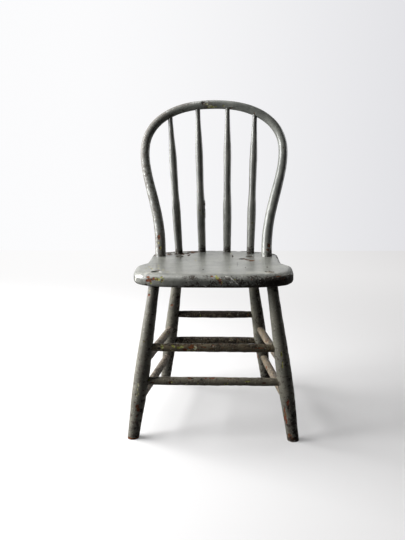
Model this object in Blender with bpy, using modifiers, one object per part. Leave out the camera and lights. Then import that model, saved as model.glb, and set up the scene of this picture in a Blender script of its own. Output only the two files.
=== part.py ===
"""A small hoop-back wooden chair, as its maker would set it out.

A thick plank seat is cut in at the back, rolled at the front and a little
saddled. Four splayed, turned legs are tapered through the seat and wedged
from above. Eight turned rungs brace the legs: the pairs at the front and the
back sit higher than the pairs at the sides, so that no two sockets meet. One
bent hoop stands in the back of the seat and holds four turned spindles.

Metres, +Z up, the sitter faces -Y, +X is to the right in the front view.
The origin is on the floor, under the middle of the bounding box.
"""
import math

import bmesh
import bpy
from mathutils import Matrix, Vector

# Fits
GAP = 0.0003                    # between two pieces that touch

# Seat plank
SEAT_HEIGHT = 0.330             # floor to the rim of the seat
SEAT_THICKNESS = 0.0250
SEAT_HALF_WIDTH = 0.1595        # across the wide front part
SEAT_BACK_HALF_WIDTH = 0.1412   # across the part that carries the hoop
SEAT_FRONT = -0.138
SEAT_BACK = 0.152
EAR_CENTRE = -0.060             # where the front corners begin to round
SHOULDER_FRONT = -0.045         # the step between the two widths
SHOULDER_BACK = 0.000
BACK_CORNER_START = 0.091
FRONT_FULLNESS = 3.3            # 2 is an ellipse, more is squarer
BACK_FULLNESS = 2.2
ROLL_INSET_FRONT = 0.021        # how far the rounded top edge reaches in
ROLL_INSET_BACK = 0.007
ROLL_DROP_FRONT = 0.0125        # and how far it drops
ROLL_DROP_BACK = 0.006
UNDER_ROUND = 0.007
SADDLE_DEPTH = 0.0035
UNDER_RINGS = (0.55, 0.85)      # rings of the flat underside, by share of the reach
UNDER_TURNS = (0, 30, 60, 90)   # degrees round the lower edge
ROLL_TURNS = (0, 18, 36, 54, 72, 90)
SADDLE_RINGS = (0.88, 0.72, 0.5, 0.25)

# Legs, as foot on the floor and as axis under the seat
FRONT_FOOT = (0.1589, -0.1426)
FRONT_LEG_TOP = (0.1149, -0.1058)
BACK_FOOT = (0.1251, 0.1581)
BACK_LEG_TOP = (0.0815, 0.0813)
LEG_FOOT_RADIUS = 0.0112
LEG_BELLY_RADIUS = 0.0151
LEG_BELLY_AT = 0.39             # share of the length, from the floor
LEG_NECK_RADIUS = 0.0107
LEG_TENON_RADIUS = 0.0086
LEG_TENON_RUN = 0.0325          # turned long, then cut off level above the seat
LEG_FOOT_RUN = 0.0112           # the same below the floor
TENON_SINK = 0.0006             # the wood has moved, so the ends sit low
LOST_WEDGE_SINK = 0.0022

# Wedges in the through tenons
WEDGE_DEPTH = 0.012
WEDGE_THICK = 0.0020
WEDGE_THIN = 0.0007
WEDGE_SIDE_ROOM = 0.0012
WEDGE_LEFT_LONG = 0.004         # before it is cut off with the tenon
KERF_REACH = 0.014              # half the saw's way across a tenon

# Rungs
FRONT_RUNG_HEIGHTS = (0.1814, 0.1147)
BACK_RUNG_HEIGHTS = (0.1850, 0.1159)
SIDE_RUNG_HEIGHTS = (0.1500, 0.0743)
RUNG_RADIUS = 0.0084
RUNG_END_RADIUS = 0.0076
RUNG_QUARTER_RADIUS = 0.0083
RUNG_QUARTER_AT = 0.16          # share of the length in sight
RUNG_PAST_AXIS = 0.0030

# Hoop, in a plane that leans back
HOOP_RAKE = math.radians(15)
HOOP_FOOT_Y = 0.0776
HOOP_OFFSET = -0.0033           # the whole back has racked a little
HOOP_FOOT_HALF_WIDTH = 0.1188
HOOP_HALF_WIDTH = 0.1563
HOOP_SPRING_HEIGHT = 0.235      # along the plane, seat to the widest place
HOOP_ARCH_HEIGHT = 0.111
HOOP_FULLNESS = 2.27
HOOP_WAIST = 1.25               # over 1 keeps the feet close for longer
HOOP_FOOT_RADIUS = 0.0116
HOOP_TOP_RADIUS = 0.0097
HOOP_SOCKET_DEPTH = 0.017

# Spindles, from the left to the right in the front view
SPINDLE_FOOT_X = (-0.0832, -0.0306, 0.0275, 0.0808)
SPINDLE_FOOT_Y = (0.1150, 0.1350, 0.1350, 0.1150)
SPINDLE_HEAD_X = (-0.1036, -0.0405, 0.0275, 0.0897)
SPINDLE_BASE_RADIUS = 0.0087
SPINDLE_SWELL_RADIUS = 0.0098
SPINDLE_WAIST_RADIUS = 0.0082
SPINDLE_SHOULDER_RADIUS = 0.0088
SPINDLE_NECK_RADIUS = 0.0054
SPINDLE_SWELL_AT = 0.30         # shares of the length in sight, from the seat
SPINDLE_WAIST_AT = 0.48
SPINDLE_SHOULDER_AT = 0.67
SPINDLE_NECK_AT = 0.98
SPINDLE_SOCKET_DEPTH = 0.015
SPINDLE_PAST_AXIS = 0.0030

# Paint and wood, for the look in the library
GREY_PAINT = (0.33, 0.34, 0.33)
WORN_PAINT = (0.24, 0.21, 0.18)
WEDGE_WOOD = (0.24, 0.16, 0.10)
PAINT_ROUGHNESS = 0.32
WORN_ROUGHNESS = 0.5
WOOD_ROUGHNESS = 0.6

# Facets
LEG_SIDES = 24
RUNG_SIDES = 16
SPINDLE_SIDES = 16
SOCKET_SIDES = 20
PROFILE_POINTS = 10
SPINDLE_POINTS = 15
HOOP_ARCH_POINTS = 36
HOOP_SIDE_POINTS = 11
HOOP_BEVEL_STEPS = 5
EAR_STEPS = 13
SHOULDER_STEPS = 8
BACK_STEPS = 12
SHARP_ANGLE = math.radians(35)
SAME_POINT = 0.00001

SEAT_UNDER = SEAT_HEIGHT - SEAT_THICKNESS
SIDES = (("left", -1), ("right", 1))


def clear_scene():
    for thing in list(bpy.data.objects):
        bpy.data.objects.remove(thing, do_unlink=True)


def new_collection(name):
    collection = bpy.data.collections.new(name)
    bpy.context.scene.collection.children.link(collection)
    return collection


def paint(name, colour, roughness):
    material = bpy.data.materials.new(name)
    material.use_nodes = True
    shader = material.node_tree.nodes["Principled BSDF"]
    shader.inputs["Base Color"].default_value = (*colour, 1)
    shader.inputs["Roughness"].default_value = roughness
    shader.inputs["Metallic"].default_value = 0
    return material


def smoothstep(t):
    t = min(max(t, 0), 1)
    return t * t * (3 - 2 * t)


def mix(a, b, t):
    return a + (b - a) * t


def arc_point(half_width, height, fullness, angle):
    """A point of one quarter of a superellipse, from its side to its top."""
    across = half_width * math.cos(angle) ** (2 / fullness)
    up = height * math.sin(angle) ** (2 / fullness)
    return across, up


def aim(start, end):
    """Matrix that puts local Z along start to end, with local X near world X."""
    along = (end - start).normalized()
    guide = Vector((1, 0, 0)) if abs(along.x) < 0.9 else Vector((0, 1, 0))
    across = (guide - along * guide.dot(along)).normalized()
    third = along.cross(across)
    turn = Matrix((across, third, along)).transposed().to_4x4()
    return Matrix.Translation(start) @ turn


def place(mesh_or_curve, name, matrix, collection):
    thing = bpy.data.objects.new(name, mesh_or_curve)
    collection.objects.link(thing)
    thing.parent = chair
    thing.matrix_local = matrix
    return thing


def as_cutter(thing):
    thing.hide_render = True
    thing.display_type = "WIRE"
    return thing


def cut(thing, cutter, operation="DIFFERENCE"):
    step = thing.modifiers.new(cutter.name, "BOOLEAN")
    step.operation = operation
    step.solver = "EXACT"
    step.object = cutter


def finish_mesh(mesh):
    mesh.shade_smooth()
    mesh.set_sharp_from_angle(angle=SHARP_ANGLE)


def turned(name, profile, sides, matrix, collection):
    """A lathe-turned piece. The profile is (distance along the axis, radius)."""
    low, high = profile[0][0], profile[-1][0]
    ring = [(0, 0, high)] + [(radius, 0, z) for z, radius in reversed(profile)] + [(0, 0, low)]
    mesh = bpy.data.meshes.new(name)
    mesh.from_pydata(ring, [(i, i + 1) for i in range(len(ring) - 1)], [])
    piece = place(mesh, name, matrix, collection)
    lathe = piece.modifiers.new("lathe", "SCREW")
    lathe.axis = "Z"
    lathe.steps = sides
    lathe.render_steps = sides
    lathe.use_merge_vertices = True
    lathe.merge_threshold = SAME_POINT
    lathe.use_smooth_shade = True
    return piece


def rod_cutter(name, start, end, radius):
    mesh = bpy.data.meshes.new(name)
    shape = bmesh.new()
    length = (end - start).length
    bmesh.ops.create_cone(
        shape, cap_ends=True, segments=SOCKET_SIDES, radius1=radius, radius2=radius, depth=length,
        matrix=Matrix.Translation((0, 0, length / 2)))
    shape.to_mesh(mesh)
    shape.free()
    return as_cutter(place(mesh, name, aim(start, end), cutters))


def box_cutter(name, low, high, matrix):
    mesh = bpy.data.meshes.new(name)
    shape = bmesh.new()
    low, high = Vector(low), Vector(high)
    size = Matrix.Diagonal((*(high - low), 1))
    bmesh.ops.create_cube(shape, size=1, matrix=Matrix.Translation((low + high) / 2) @ size)
    shape.to_mesh(mesh)
    shape.free()
    return as_cutter(place(mesh, name, matrix, cutters))


def eased_profile(stations, count=PROFILE_POINTS):
    """Points on a smooth line through (distance, radius) stations, even along the axis."""
    first, last = stations[0][0], stations[-1][0]
    points = []
    for step in range(count):
        at = mix(first, last, step / (count - 1))
        here = max(i for i, (distance, _) in enumerate(stations[:-1]) if distance <= at + 1e-9)
        (near, r0), (far, r1) = stations[here], stations[here + 1]
        points.append((at, mix(r0, r1, smoothstep((at - near) / (far - near)))))
    return points


# Seat

def seat_half_outline():
    """The right half of the seat's plan, from the middle of the front to the middle of the back."""
    points = []
    for step in range(EAR_STEPS + 1):
        angle = math.pi / 2 * (1 - step / EAR_STEPS)
        x, y = arc_point(SEAT_HALF_WIDTH, EAR_CENTRE - SEAT_FRONT, FRONT_FULLNESS, angle)
        points.append((x, EAR_CENTRE - y))
    for step in range(SHOULDER_STEPS + 1):
        share = step / SHOULDER_STEPS
        x = mix(SEAT_HALF_WIDTH, SEAT_BACK_HALF_WIDTH, smoothstep(share))
        points.append((x, mix(SHOULDER_FRONT, SHOULDER_BACK, share)))
    for step in range(BACK_STEPS + 1):
        angle = math.pi / 2 * step / BACK_STEPS
        x, y = arc_point(SEAT_BACK_HALF_WIDTH, SEAT_BACK - BACK_CORNER_START, BACK_FULLNESS, angle)
        points.append((x, BACK_CORNER_START + y))
    return points


def seat_outline():
    half = seat_half_outline()
    return half + [(-x, y) for x, y in reversed(half[1:-1])]


def edge_size(y, front, back):
    """A size of the seat's edge that changes from the front to the back."""
    return mix(front, back, smoothstep((y - SEAT_FRONT) / (SHOULDER_BACK - SEAT_FRONT)))


def roll_inset(y):
    return edge_size(y, ROLL_INSET_FRONT, ROLL_INSET_BACK)


def roll_drop(y):
    return edge_size(y, ROLL_DROP_FRONT, ROLL_DROP_BACK)


def saddle(share):
    """Height of the sat-on surface under the rim, by the share of the way to the rim."""
    return SADDLE_DEPTH * (1 - min(share, 1) ** 2) ** 2


def seat_reach(x, y):
    """Distance from the seat's middle to its edge, in the direction of x, y."""
    angle = math.atan2(abs(x), -y)
    trail = [(math.atan2(px, -py), math.hypot(px, py)) for px, py in seat_half_outline()]
    for (a0, r0), (a1, r1) in zip(trail, trail[1:]):
        if a0 <= angle <= a1 and a1 > a0:
            return mix(r0, r1, (angle - a0) / (a1 - a0))
    return trail[-1][1]


def seat_top(x, y):
    """Height of the seat's top surface at x, y."""
    reach = seat_reach(x, y)
    out = math.hypot(x, y)
    inset = roll_inset(y)
    rim = reach - inset
    if out <= rim:
        return SEAT_HEIGHT - saddle(out / rim)
    over = min((out - rim) / inset, 1)
    return SEAT_HEIGHT - roll_drop(y) * (1 - math.sqrt(1 - over * over))


def seat_ring(inset_of, height_of):
    ring = []
    for x, y in seat_outline():
        reach = math.hypot(x, y)
        share = (reach - inset_of(y)) / reach
        ring.append((x * share, y * share, height_of(y)))
    return ring


def seat_rings():
    """Rings of the plank from the middle of its underside, round the edge, to the saddle."""
    rings = []
    for share in UNDER_RINGS:
        rings.append([(x * share, y * share, SEAT_UNDER) for x, y in seat_outline()])
    for turn in UNDER_TURNS:
        angle = math.radians(turn)
        rings.append(seat_ring(
            lambda y: UNDER_ROUND * (1 - math.sin(angle)),
            lambda y: SEAT_UNDER + UNDER_ROUND * (1 - math.cos(angle))))
    for turn in ROLL_TURNS:
        angle = math.radians(turn)
        rings.append(seat_ring(
            lambda y: roll_inset(y) * (1 - math.cos(angle)),
            lambda y: SEAT_HEIGHT - roll_drop(y) * (1 - math.sin(angle))))
    for share in SADDLE_RINGS:
        ring = []
        for x, y in seat_outline():
            reach = math.hypot(x, y)
            rim = (reach - roll_inset(y)) / reach
            ring.append((x * rim * share, y * rim * share, SEAT_HEIGHT - saddle(share)))
        rings.append(ring)
    return rings


def make_seat():
    shape = bmesh.new()
    rows = [[shape.verts.new(point) for point in ring] for ring in seat_rings()]
    under = shape.verts.new((0, 0, SEAT_UNDER))
    middle = shape.verts.new((0, 0, SEAT_HEIGHT - SADDLE_DEPTH))
    count = len(rows[0])
    for i in range(count):
        j = (i + 1) % count
        shape.faces.new((under, rows[0][j], rows[0][i]))
        shape.faces.new((middle, rows[-1][i], rows[-1][j]))
        for low, high in zip(rows, rows[1:]):
            shape.faces.new((low[i], low[j], high[j], high[i]))
    bmesh.ops.recalc_face_normals(shape, faces=shape.faces)
    mesh = bpy.data.meshes.new("seat")
    shape.to_mesh(mesh)
    shape.free()
    finish_mesh(mesh)
    mesh.materials.append(paint("seat_paint", GREY_PAINT, PAINT_ROUGHNESS))
    return place(mesh, "seat", Matrix(), parts)


# Legs

def leg_line(end, side):
    foot, top = (FRONT_FOOT, FRONT_LEG_TOP) if end == "front" else (BACK_FOOT, BACK_LEG_TOP)
    return Vector((side * foot[0], foot[1], 0)), Vector((side * top[0], top[1], SEAT_UNDER))


def leg_at(end, side, height):
    """The point of a leg's axis at a height above the floor."""
    foot, top = leg_line(end, side)
    return foot.lerp(top, height / SEAT_UNDER)


def leg_profile(length):
    """Radii along the leg: foot, belly, neck under the seat, and the taper through it."""
    below = eased_profile([(0, LEG_FOOT_RADIUS), (LEG_BELLY_AT * length, LEG_BELLY_RADIUS),
                           (length, LEG_NECK_RADIUS)])
    under_floor = [(-LEG_FOOT_RUN, LEG_FOOT_RADIUS)]
    return under_floor + below + [(length + LEG_TENON_RUN, LEG_TENON_RADIUS)]


def leg_radius_at(end, height):
    foot, top = leg_line(end, 1)
    length = (top - foot).length
    wanted = length * height / SEAT_UNDER
    profile = leg_profile(length)
    for (near, r0), (far, r1) in zip(profile, profile[1:]):
        if near <= wanted <= far:
            return mix(r0, r1, (wanted - near) / (far - near))
    return LEG_NECK_RADIUS


def widened(profile):
    """The same profile grown by the gap, its taper run on to cut clean through the seat."""
    grown = [(distance, radius + GAP) for distance, radius in profile]
    (near, r0), (far, r1) = grown[-2:]
    run_on = LEG_TENON_RUN
    grown[-1] = (far + run_on, r1 - (r0 - r1) * run_on / (far - near))
    return grown


def tenon_end(end, side, sink):
    """Where a leg's axis comes out of the seat, a little below the surface."""
    at = leg_at(end, side, SEAT_HEIGHT)
    radius = LEG_TENON_RADIUS
    lowest = min(seat_top(at.x + dx, at.y + dy)
                 for dx in (-radius, 0, radius) for dy in (-radius, 0, radius))
    return leg_at(end, side, lowest - sink)


def make_leg(end, side_name, side):
    name = f"leg_{end}_{side_name}"
    foot, top = leg_line(end, side)
    matrix = aim(foot, top)
    length = (top - foot).length
    profile = leg_profile(length)
    leg = turned(name, profile, LEG_SIDES, matrix, parts)
    leg.data.materials.append(paint(f"{name}_paint", GREY_PAINT, PAINT_ROUGHNESS))
    lost = (end, side_name) == ("front", "left")
    crown = tenon_end(end, side, LOST_WEDGE_SINK if lost else TENON_SINK)
    span = SEAT_HALF_WIDTH
    trim = box_cutter(f"trim_{name}", (-span, -span, 0), (span, span, crown.z),
                      Matrix.Translation((foot.x, foot.y, 0)))
    cut(leg, trim, "INTERSECT")
    mortise = turned(f"mortise_{name}", widened(profile), LEG_SIDES, matrix, cutters)
    cut(seat, as_cutter(mortise))
    slot = Matrix.Translation(crown) @ matrix.to_quaternion().to_matrix().to_4x4()
    kerf = box_cutter(
        f"kerf_{name}", (-KERF_REACH, -WEDGE_THICK / 2 - GAP, -WEDGE_DEPTH - GAP),
        (KERF_REACH, WEDGE_THICK / 2 + GAP, KERF_REACH), slot)
    cut(leg, kerf)
    if not lost:
        cut(make_wedge(f"wedge_{end}_{side_name}", slot), trim, "INTERSECT")
    return leg


def make_wedge(name, slot):
    """A thin hardwood wedge, driven into the kerf of a leg's tenon."""
    mesh = bpy.data.meshes.new(name)
    shape = bmesh.new()
    width = 2 * (LEG_TENON_RADIUS - WEDGE_SIDE_ROOM)
    height = WEDGE_DEPTH + WEDGE_LEFT_LONG
    middle = WEDGE_LEFT_LONG - height / 2
    size = Matrix.Diagonal((width, WEDGE_THICK, height, 1))
    bmesh.ops.create_cube(shape, size=1, matrix=Matrix.Translation((0, 0, middle)) @ size)
    for vert in shape.verts:
        if vert.co.z < middle:
            vert.co.y *= WEDGE_THIN / WEDGE_THICK
    shape.to_mesh(mesh)
    shape.free()
    mesh.materials.append(paint(f"{name}_wood", WEDGE_WOOD, WOOD_ROUGHNESS))
    return place(mesh, name, slot, parts)


# Rungs

def make_rung(name, start, end, start_radius, end_radius, legs):
    """A turned rung between two leg axes, with its thin ends blind in the legs."""
    along = (end - start).normalized()
    head = start - along * RUNG_PAST_AXIS
    tail = end + along * RUNG_PAST_AXIS
    shown = (RUNG_PAST_AXIS + start_radius, (tail - head).length - RUNG_PAST_AXIS - end_radius)
    length = shown[1] - shown[0]
    quarter = RUNG_QUARTER_AT * length
    stations = [(shown[0], RUNG_END_RADIUS), (shown[0] + quarter, RUNG_QUARTER_RADIUS),
                (shown[0] + length / 2, RUNG_RADIUS),
                (shown[1] - quarter, RUNG_QUARTER_RADIUS), (shown[1], RUNG_END_RADIUS)]
    profile = [(0, RUNG_END_RADIUS)] + eased_profile(stations)
    profile.append(((tail - head).length, RUNG_END_RADIUS))
    rung = turned(name, profile, RUNG_SIDES, aim(head, tail), parts)
    rung.data.materials.append(paint(f"{name}_paint", WORN_PAINT, WORN_ROUGHNESS))
    mouth = 2 * LEG_BELLY_RADIUS
    for leg, tip, inward in ((legs[0], head, along), (legs[1], tail, -along)):
        socket = rod_cutter(
            f"socket_{name}_{leg.name}", tip - inward * GAP, tip + inward * mouth,
            RUNG_END_RADIUS + GAP)
        cut(leg, socket)
    return rung


def make_rungs(legs):
    levels = ("upper", "lower")
    for end, heights in (("front", FRONT_RUNG_HEIGHTS), ("back", BACK_RUNG_HEIGHTS)):
        for level, height in zip(levels, heights):
            radius = leg_radius_at(end, height)
            make_rung(f"rung_{end}_{level}", leg_at(end, -1, height), leg_at(end, 1, height),
                      radius, radius, (legs[end, "left"], legs[end, "right"]))
    for side_name, side in SIDES:
        for level, height in zip(levels, SIDE_RUNG_HEIGHTS):
            make_rung(f"rung_{side_name}_{level}", leg_at("front", side, height),
                      leg_at("back", side, height),
                      leg_radius_at("front", height), leg_radius_at("back", height),
                      (legs["front", side_name], legs["back", side_name]))


# Hoop

def on_hoop_plane(across, up):
    """A point of the hoop's leaning plane. up is measured along the plane from the seat."""
    return Vector((across + HOOP_OFFSET, HOOP_FOOT_Y + up * math.sin(HOOP_RAKE),
                   SEAT_HEIGHT + up * math.cos(HOOP_RAKE)))


def hoop_height(across):
    """Height along the plane of the arch's centre line, at a distance from the middle."""
    share = min(abs(across) / HOOP_HALF_WIDTH, 1) ** HOOP_FULLNESS
    return HOOP_SPRING_HEIGHT + HOOP_ARCH_HEIGHT * (1 - share) ** (1 / HOOP_FULLNESS)


def hoop_side(share):
    """A point of the hoop's side, from the seat (0) to the widest place (1)."""
    across = mix(HOOP_FOOT_HALF_WIDTH, HOOP_HALF_WIDTH, smoothstep(share ** HOOP_WAIST))
    return across, share * HOOP_SPRING_HEIGHT


def hoop_half_line():
    """Centre line of the right half, from the foot in the seat to the top of the arch."""
    points = [(HOOP_FOOT_HALF_WIDTH, -HOOP_SOCKET_DEPTH)]
    points += [hoop_side(step / HOOP_SIDE_POINTS) for step in range(HOOP_SIDE_POINTS)]
    half_steps = HOOP_ARCH_POINTS // 2
    for step in range(half_steps + 1):
        angle = math.pi / 2 * step / half_steps
        across, up = arc_point(HOOP_HALF_WIDTH, HOOP_ARCH_HEIGHT, HOOP_FULLNESS, angle)
        points.append((across, HOOP_SPRING_HEIGHT + up))
    return points


def hoop_thickness(up):
    full = HOOP_SPRING_HEIGHT + HOOP_ARCH_HEIGHT
    return mix(HOOP_FOOT_RADIUS, HOOP_TOP_RADIUS, smoothstep(up / full))


def make_hoop():
    half = hoop_half_line()
    line = half + [(-across, up) for across, up in reversed(half[:-1])]
    curve = bpy.data.curves.new("hoop_line", "CURVE")
    curve.dimensions = "3D"
    curve.bevel_depth = 1
    curve.bevel_resolution = HOOP_BEVEL_STEPS
    curve.use_fill_caps = True
    spline = curve.splines.new("POLY")
    spline.points.add(len(line) - 1)
    for point, (across, up) in zip(spline.points, line):
        point.co = (*on_hoop_plane(across, up), 1)
        point.radius = hoop_thickness(up)
    rod = place(curve, "hoop_line", Matrix(), parts)
    evaluated = rod.evaluated_get(bpy.context.evaluated_depsgraph_get())
    mesh = bpy.data.meshes.new_from_object(evaluated)
    shape = bmesh.new()
    shape.from_mesh(mesh)
    bmesh.ops.remove_doubles(shape, verts=shape.verts, dist=SAME_POINT)
    bmesh.ops.recalc_face_normals(shape, faces=shape.faces)
    shape.to_mesh(mesh)
    shape.free()
    bpy.data.objects.remove(rod, do_unlink=True)
    mesh.name = "hoop"
    mesh.materials.clear()
    mesh.materials.append(paint("hoop_paint", GREY_PAINT, PAINT_ROUGHNESS))
    hoop_piece = place(mesh, "hoop", Matrix(), parts)
    finish_mesh(mesh)
    for side_name, side in SIDES:
        deep = on_hoop_plane(side * HOOP_FOOT_HALF_WIDTH, -HOOP_SOCKET_DEPTH - GAP)
        mouth = on_hoop_plane(side * HOOP_FOOT_HALF_WIDTH, HOOP_SOCKET_DEPTH)
        cut(seat, rod_cutter(f"hoop_socket_{side_name}", deep, mouth, HOOP_FOOT_RADIUS + GAP))
    return hoop_piece


# Spindles

def make_spindle(name, foot_x, foot_y, head_x):
    foot = Vector((foot_x, foot_y, seat_top(foot_x, foot_y)))
    across = head_x - HOOP_OFFSET
    up = hoop_height(across)
    head = on_hoop_plane(across, up)
    along = (head - foot).normalized()
    start = foot - along * SPINDLE_SOCKET_DEPTH
    end = head + along * SPINDLE_PAST_AXIS
    shown = (head - foot).length - hoop_thickness(up)
    base = SPINDLE_SOCKET_DEPTH
    stations = [(base, SPINDLE_BASE_RADIUS),
                (base + SPINDLE_SWELL_AT * shown, SPINDLE_SWELL_RADIUS),
                (base + SPINDLE_WAIST_AT * shown, SPINDLE_WAIST_RADIUS),
                (base + SPINDLE_SHOULDER_AT * shown, SPINDLE_SHOULDER_RADIUS),
                (base + SPINDLE_NECK_AT * shown, SPINDLE_NECK_RADIUS)]
    profile = [(0, SPINDLE_BASE_RADIUS)] + eased_profile(stations, SPINDLE_POINTS)
    profile.append(((end - start).length, SPINDLE_NECK_RADIUS))
    spindle = turned(name, profile, SPINDLE_SIDES, aim(start, end), parts)
    spindle.data.materials.append(paint(f"{name}_paint", GREY_PAINT, PAINT_ROUGHNESS))
    run_on = SEAT_THICKNESS
    cut(seat, rod_cutter(f"seat_socket_{name}", start - along * GAP, foot + along * run_on,
                         SPINDLE_BASE_RADIUS + GAP))
    cut(hoop, rod_cutter(f"hoop_socket_{name}", end - along * run_on, end + along * GAP,
                         SPINDLE_NECK_RADIUS + GAP))
    return spindle


def centre_on_origin():
    """Moves the empty so that the chair's bounding box is centred over the origin."""
    bpy.context.view_layer.update()
    graph = bpy.context.evaluated_depsgraph_get()
    corners = []
    for piece in parts.objects:
        if piece.type == "MESH":
            evaluated = piece.evaluated_get(graph)
            corners += [evaluated.matrix_world @ vert.co for vert in evaluated.data.vertices]
    middle_x = (min(c.x for c in corners) + max(c.x for c in corners)) / 2
    middle_y = (min(c.y for c in corners) + max(c.y for c in corners)) / 2
    chair.location = (-middle_x, -middle_y, 0)
    bpy.context.view_layer.update()


clear_scene()
parts = new_collection("hoop_back_chair")
cutters = new_collection("cutters")
chair = bpy.data.objects.new("chair", None)
parts.objects.link(chair)

seat = make_seat()
leg_pieces = {(end, side_name): make_leg(end, side_name, side)
              for end in ("front", "back") for side_name, side in SIDES}
make_rungs(leg_pieces)
hoop = make_hoop()
spindle_names = ("spindle_outer_left", "spindle_inner_left",
                 "spindle_inner_right", "spindle_outer_right")
for spindle_name, x_foot, y_foot, x_head in zip(
        spindle_names, SPINDLE_FOOT_X, SPINDLE_FOOT_Y, SPINDLE_HEAD_X):
    make_spindle(spindle_name, x_foot, y_foot, x_head)
centre_on_origin()
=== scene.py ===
# %% [markdown]
# # A small hoop-back chair in old grey paint
# The real thing is a wooden chair for a child. It has a thick plank seat, one bent hoop over
# four turned spindles, four splayed turned legs and eight turned rungs. Each piece was painted
# many times, and the top grey coat is chipped down to yellow, green and red coats and bare wood.
#
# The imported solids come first. They fix where every piece is, so that the pieces made here have
# a frame to sit on.

import math

import bmesh
import bpy
import numpy as np
from mathutils import Matrix, Vector


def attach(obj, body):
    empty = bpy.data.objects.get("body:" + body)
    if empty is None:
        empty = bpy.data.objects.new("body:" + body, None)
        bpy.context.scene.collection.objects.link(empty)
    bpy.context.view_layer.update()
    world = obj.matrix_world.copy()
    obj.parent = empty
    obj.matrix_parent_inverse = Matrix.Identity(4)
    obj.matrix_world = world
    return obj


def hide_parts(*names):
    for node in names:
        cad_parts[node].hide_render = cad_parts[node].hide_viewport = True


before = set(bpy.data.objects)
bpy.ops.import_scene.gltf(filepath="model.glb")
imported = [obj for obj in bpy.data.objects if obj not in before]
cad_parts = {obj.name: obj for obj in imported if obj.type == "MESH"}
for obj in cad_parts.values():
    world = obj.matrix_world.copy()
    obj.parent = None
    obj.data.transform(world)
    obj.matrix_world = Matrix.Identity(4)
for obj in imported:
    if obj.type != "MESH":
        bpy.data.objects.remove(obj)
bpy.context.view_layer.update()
print("nodes in the frame:", len(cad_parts))

# %% [markdown]
# ## The camera
# A pinhole camera was fitted to the edges of the legs, rungs, seat and hoop in the photograph.
# It stands a little above the seat and looks slightly down. Its place is written as numbers in
# the frame, and its turn is built from three angles, so that each can be read and changed.

# %% Camera
CAMERA_PLACE = Vector((0.0274, -1.2591, 0.5628))
CAMERA_TURN = 0.0416
CAMERA_TILT = 0.1974
CAMERA_ROLL = -0.0054
LENS = 40

ahead = Vector((-math.sin(CAMERA_TURN) * math.cos(CAMERA_TILT),
                math.cos(CAMERA_TURN) * math.cos(CAMERA_TILT), -math.sin(CAMERA_TILT)))
level = Vector((math.cos(CAMERA_TURN), math.sin(CAMERA_TURN), 0))
upward = level.cross(ahead)
across = math.cos(CAMERA_ROLL) * level + math.sin(CAMERA_ROLL) * upward
overhead = -math.sin(CAMERA_ROLL) * level + math.cos(CAMERA_ROLL) * upward

camera_data = bpy.data.cameras.new("camera")
camera_data.lens = LENS
camera_data.sensor_width = 36
camera = bpy.data.objects.new("camera", camera_data)
bpy.context.scene.collection.objects.link(camera)
camera.matrix_world = Matrix.Translation(CAMERA_PLACE) @ Matrix(
    (across, overhead, -ahead)).transposed().to_4x4()
bpy.context.scene.camera = camera
print("camera height:", round(camera.location.z, 3))

# %% [markdown]
# ## Small helpers for shader nodes
# A material is a graph of nodes. Two helpers keep the graphs short to write: one adds a node and
# joins its inputs, the other makes a node group with named sockets.

# %% Node helpers
def add_node(tree, kind, settings=None, **inputs):
    """Adds a node. An input given a socket is linked, and any other value is set.
    n0, n1 and so on name an input by its number, where several have the same label."""
    made = tree.nodes.new(kind)
    for key, value in (settings or {}).items():
        setattr(made, key, value)
    for key, value in inputs.items():
        by_number = key[0] == "n" and key[1:].isdigit()
        socket = made.inputs[int(key[1:]) if by_number else key.replace("_", " ")]
        if isinstance(value, bpy.types.NodeSocket):
            tree.links.new(value, socket)
        else:
            socket.default_value = value
    return made


def maths(tree, operation, a, b=0.0, clamp=False):
    return add_node(tree, "ShaderNodeMath", {"operation": operation, "use_clamp": clamp},
                    n0=a, n1=b).outputs[0]


def blend_colours(tree, share, low, high):
    made = add_node(tree, "ShaderNodeMix", {"data_type": "RGBA"}, n0=share, n6=low, n7=high)
    return made.outputs[2]


def fade(tree, value, low, high):
    """0 below low, 1 above high, and smooth between."""
    made = add_node(tree, "ShaderNodeMapRange", {"interpolation_type": "SMOOTHSTEP"}, Value=value)
    made.inputs["From Min"].default_value = low
    made.inputs["From Max"].default_value = high
    return made.outputs[0]


def noise(tree, place, scale, detail=2.0, roughness=0.5):
    made = add_node(tree, "ShaderNodeTexNoise", None, Vector=place, Scale=scale, Detail=detail,
                    Roughness=roughness)
    return made.outputs["Fac"]


def new_group(name, inputs, outputs):
    tree = bpy.data.node_groups.new(name, "ShaderNodeTree")
    for label, kind in inputs:
        tree.interface.new_socket(name=label, in_out="INPUT", socket_type=f"NodeSocket{kind}")
    for label, kind in outputs:
        tree.interface.new_socket(name=label, in_out="OUTPUT", socket_type=f"NodeSocket{kind}")
    return tree, tree.nodes.new("NodeGroupInput").outputs, tree.nodes.new("NodeGroupOutput").inputs
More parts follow.
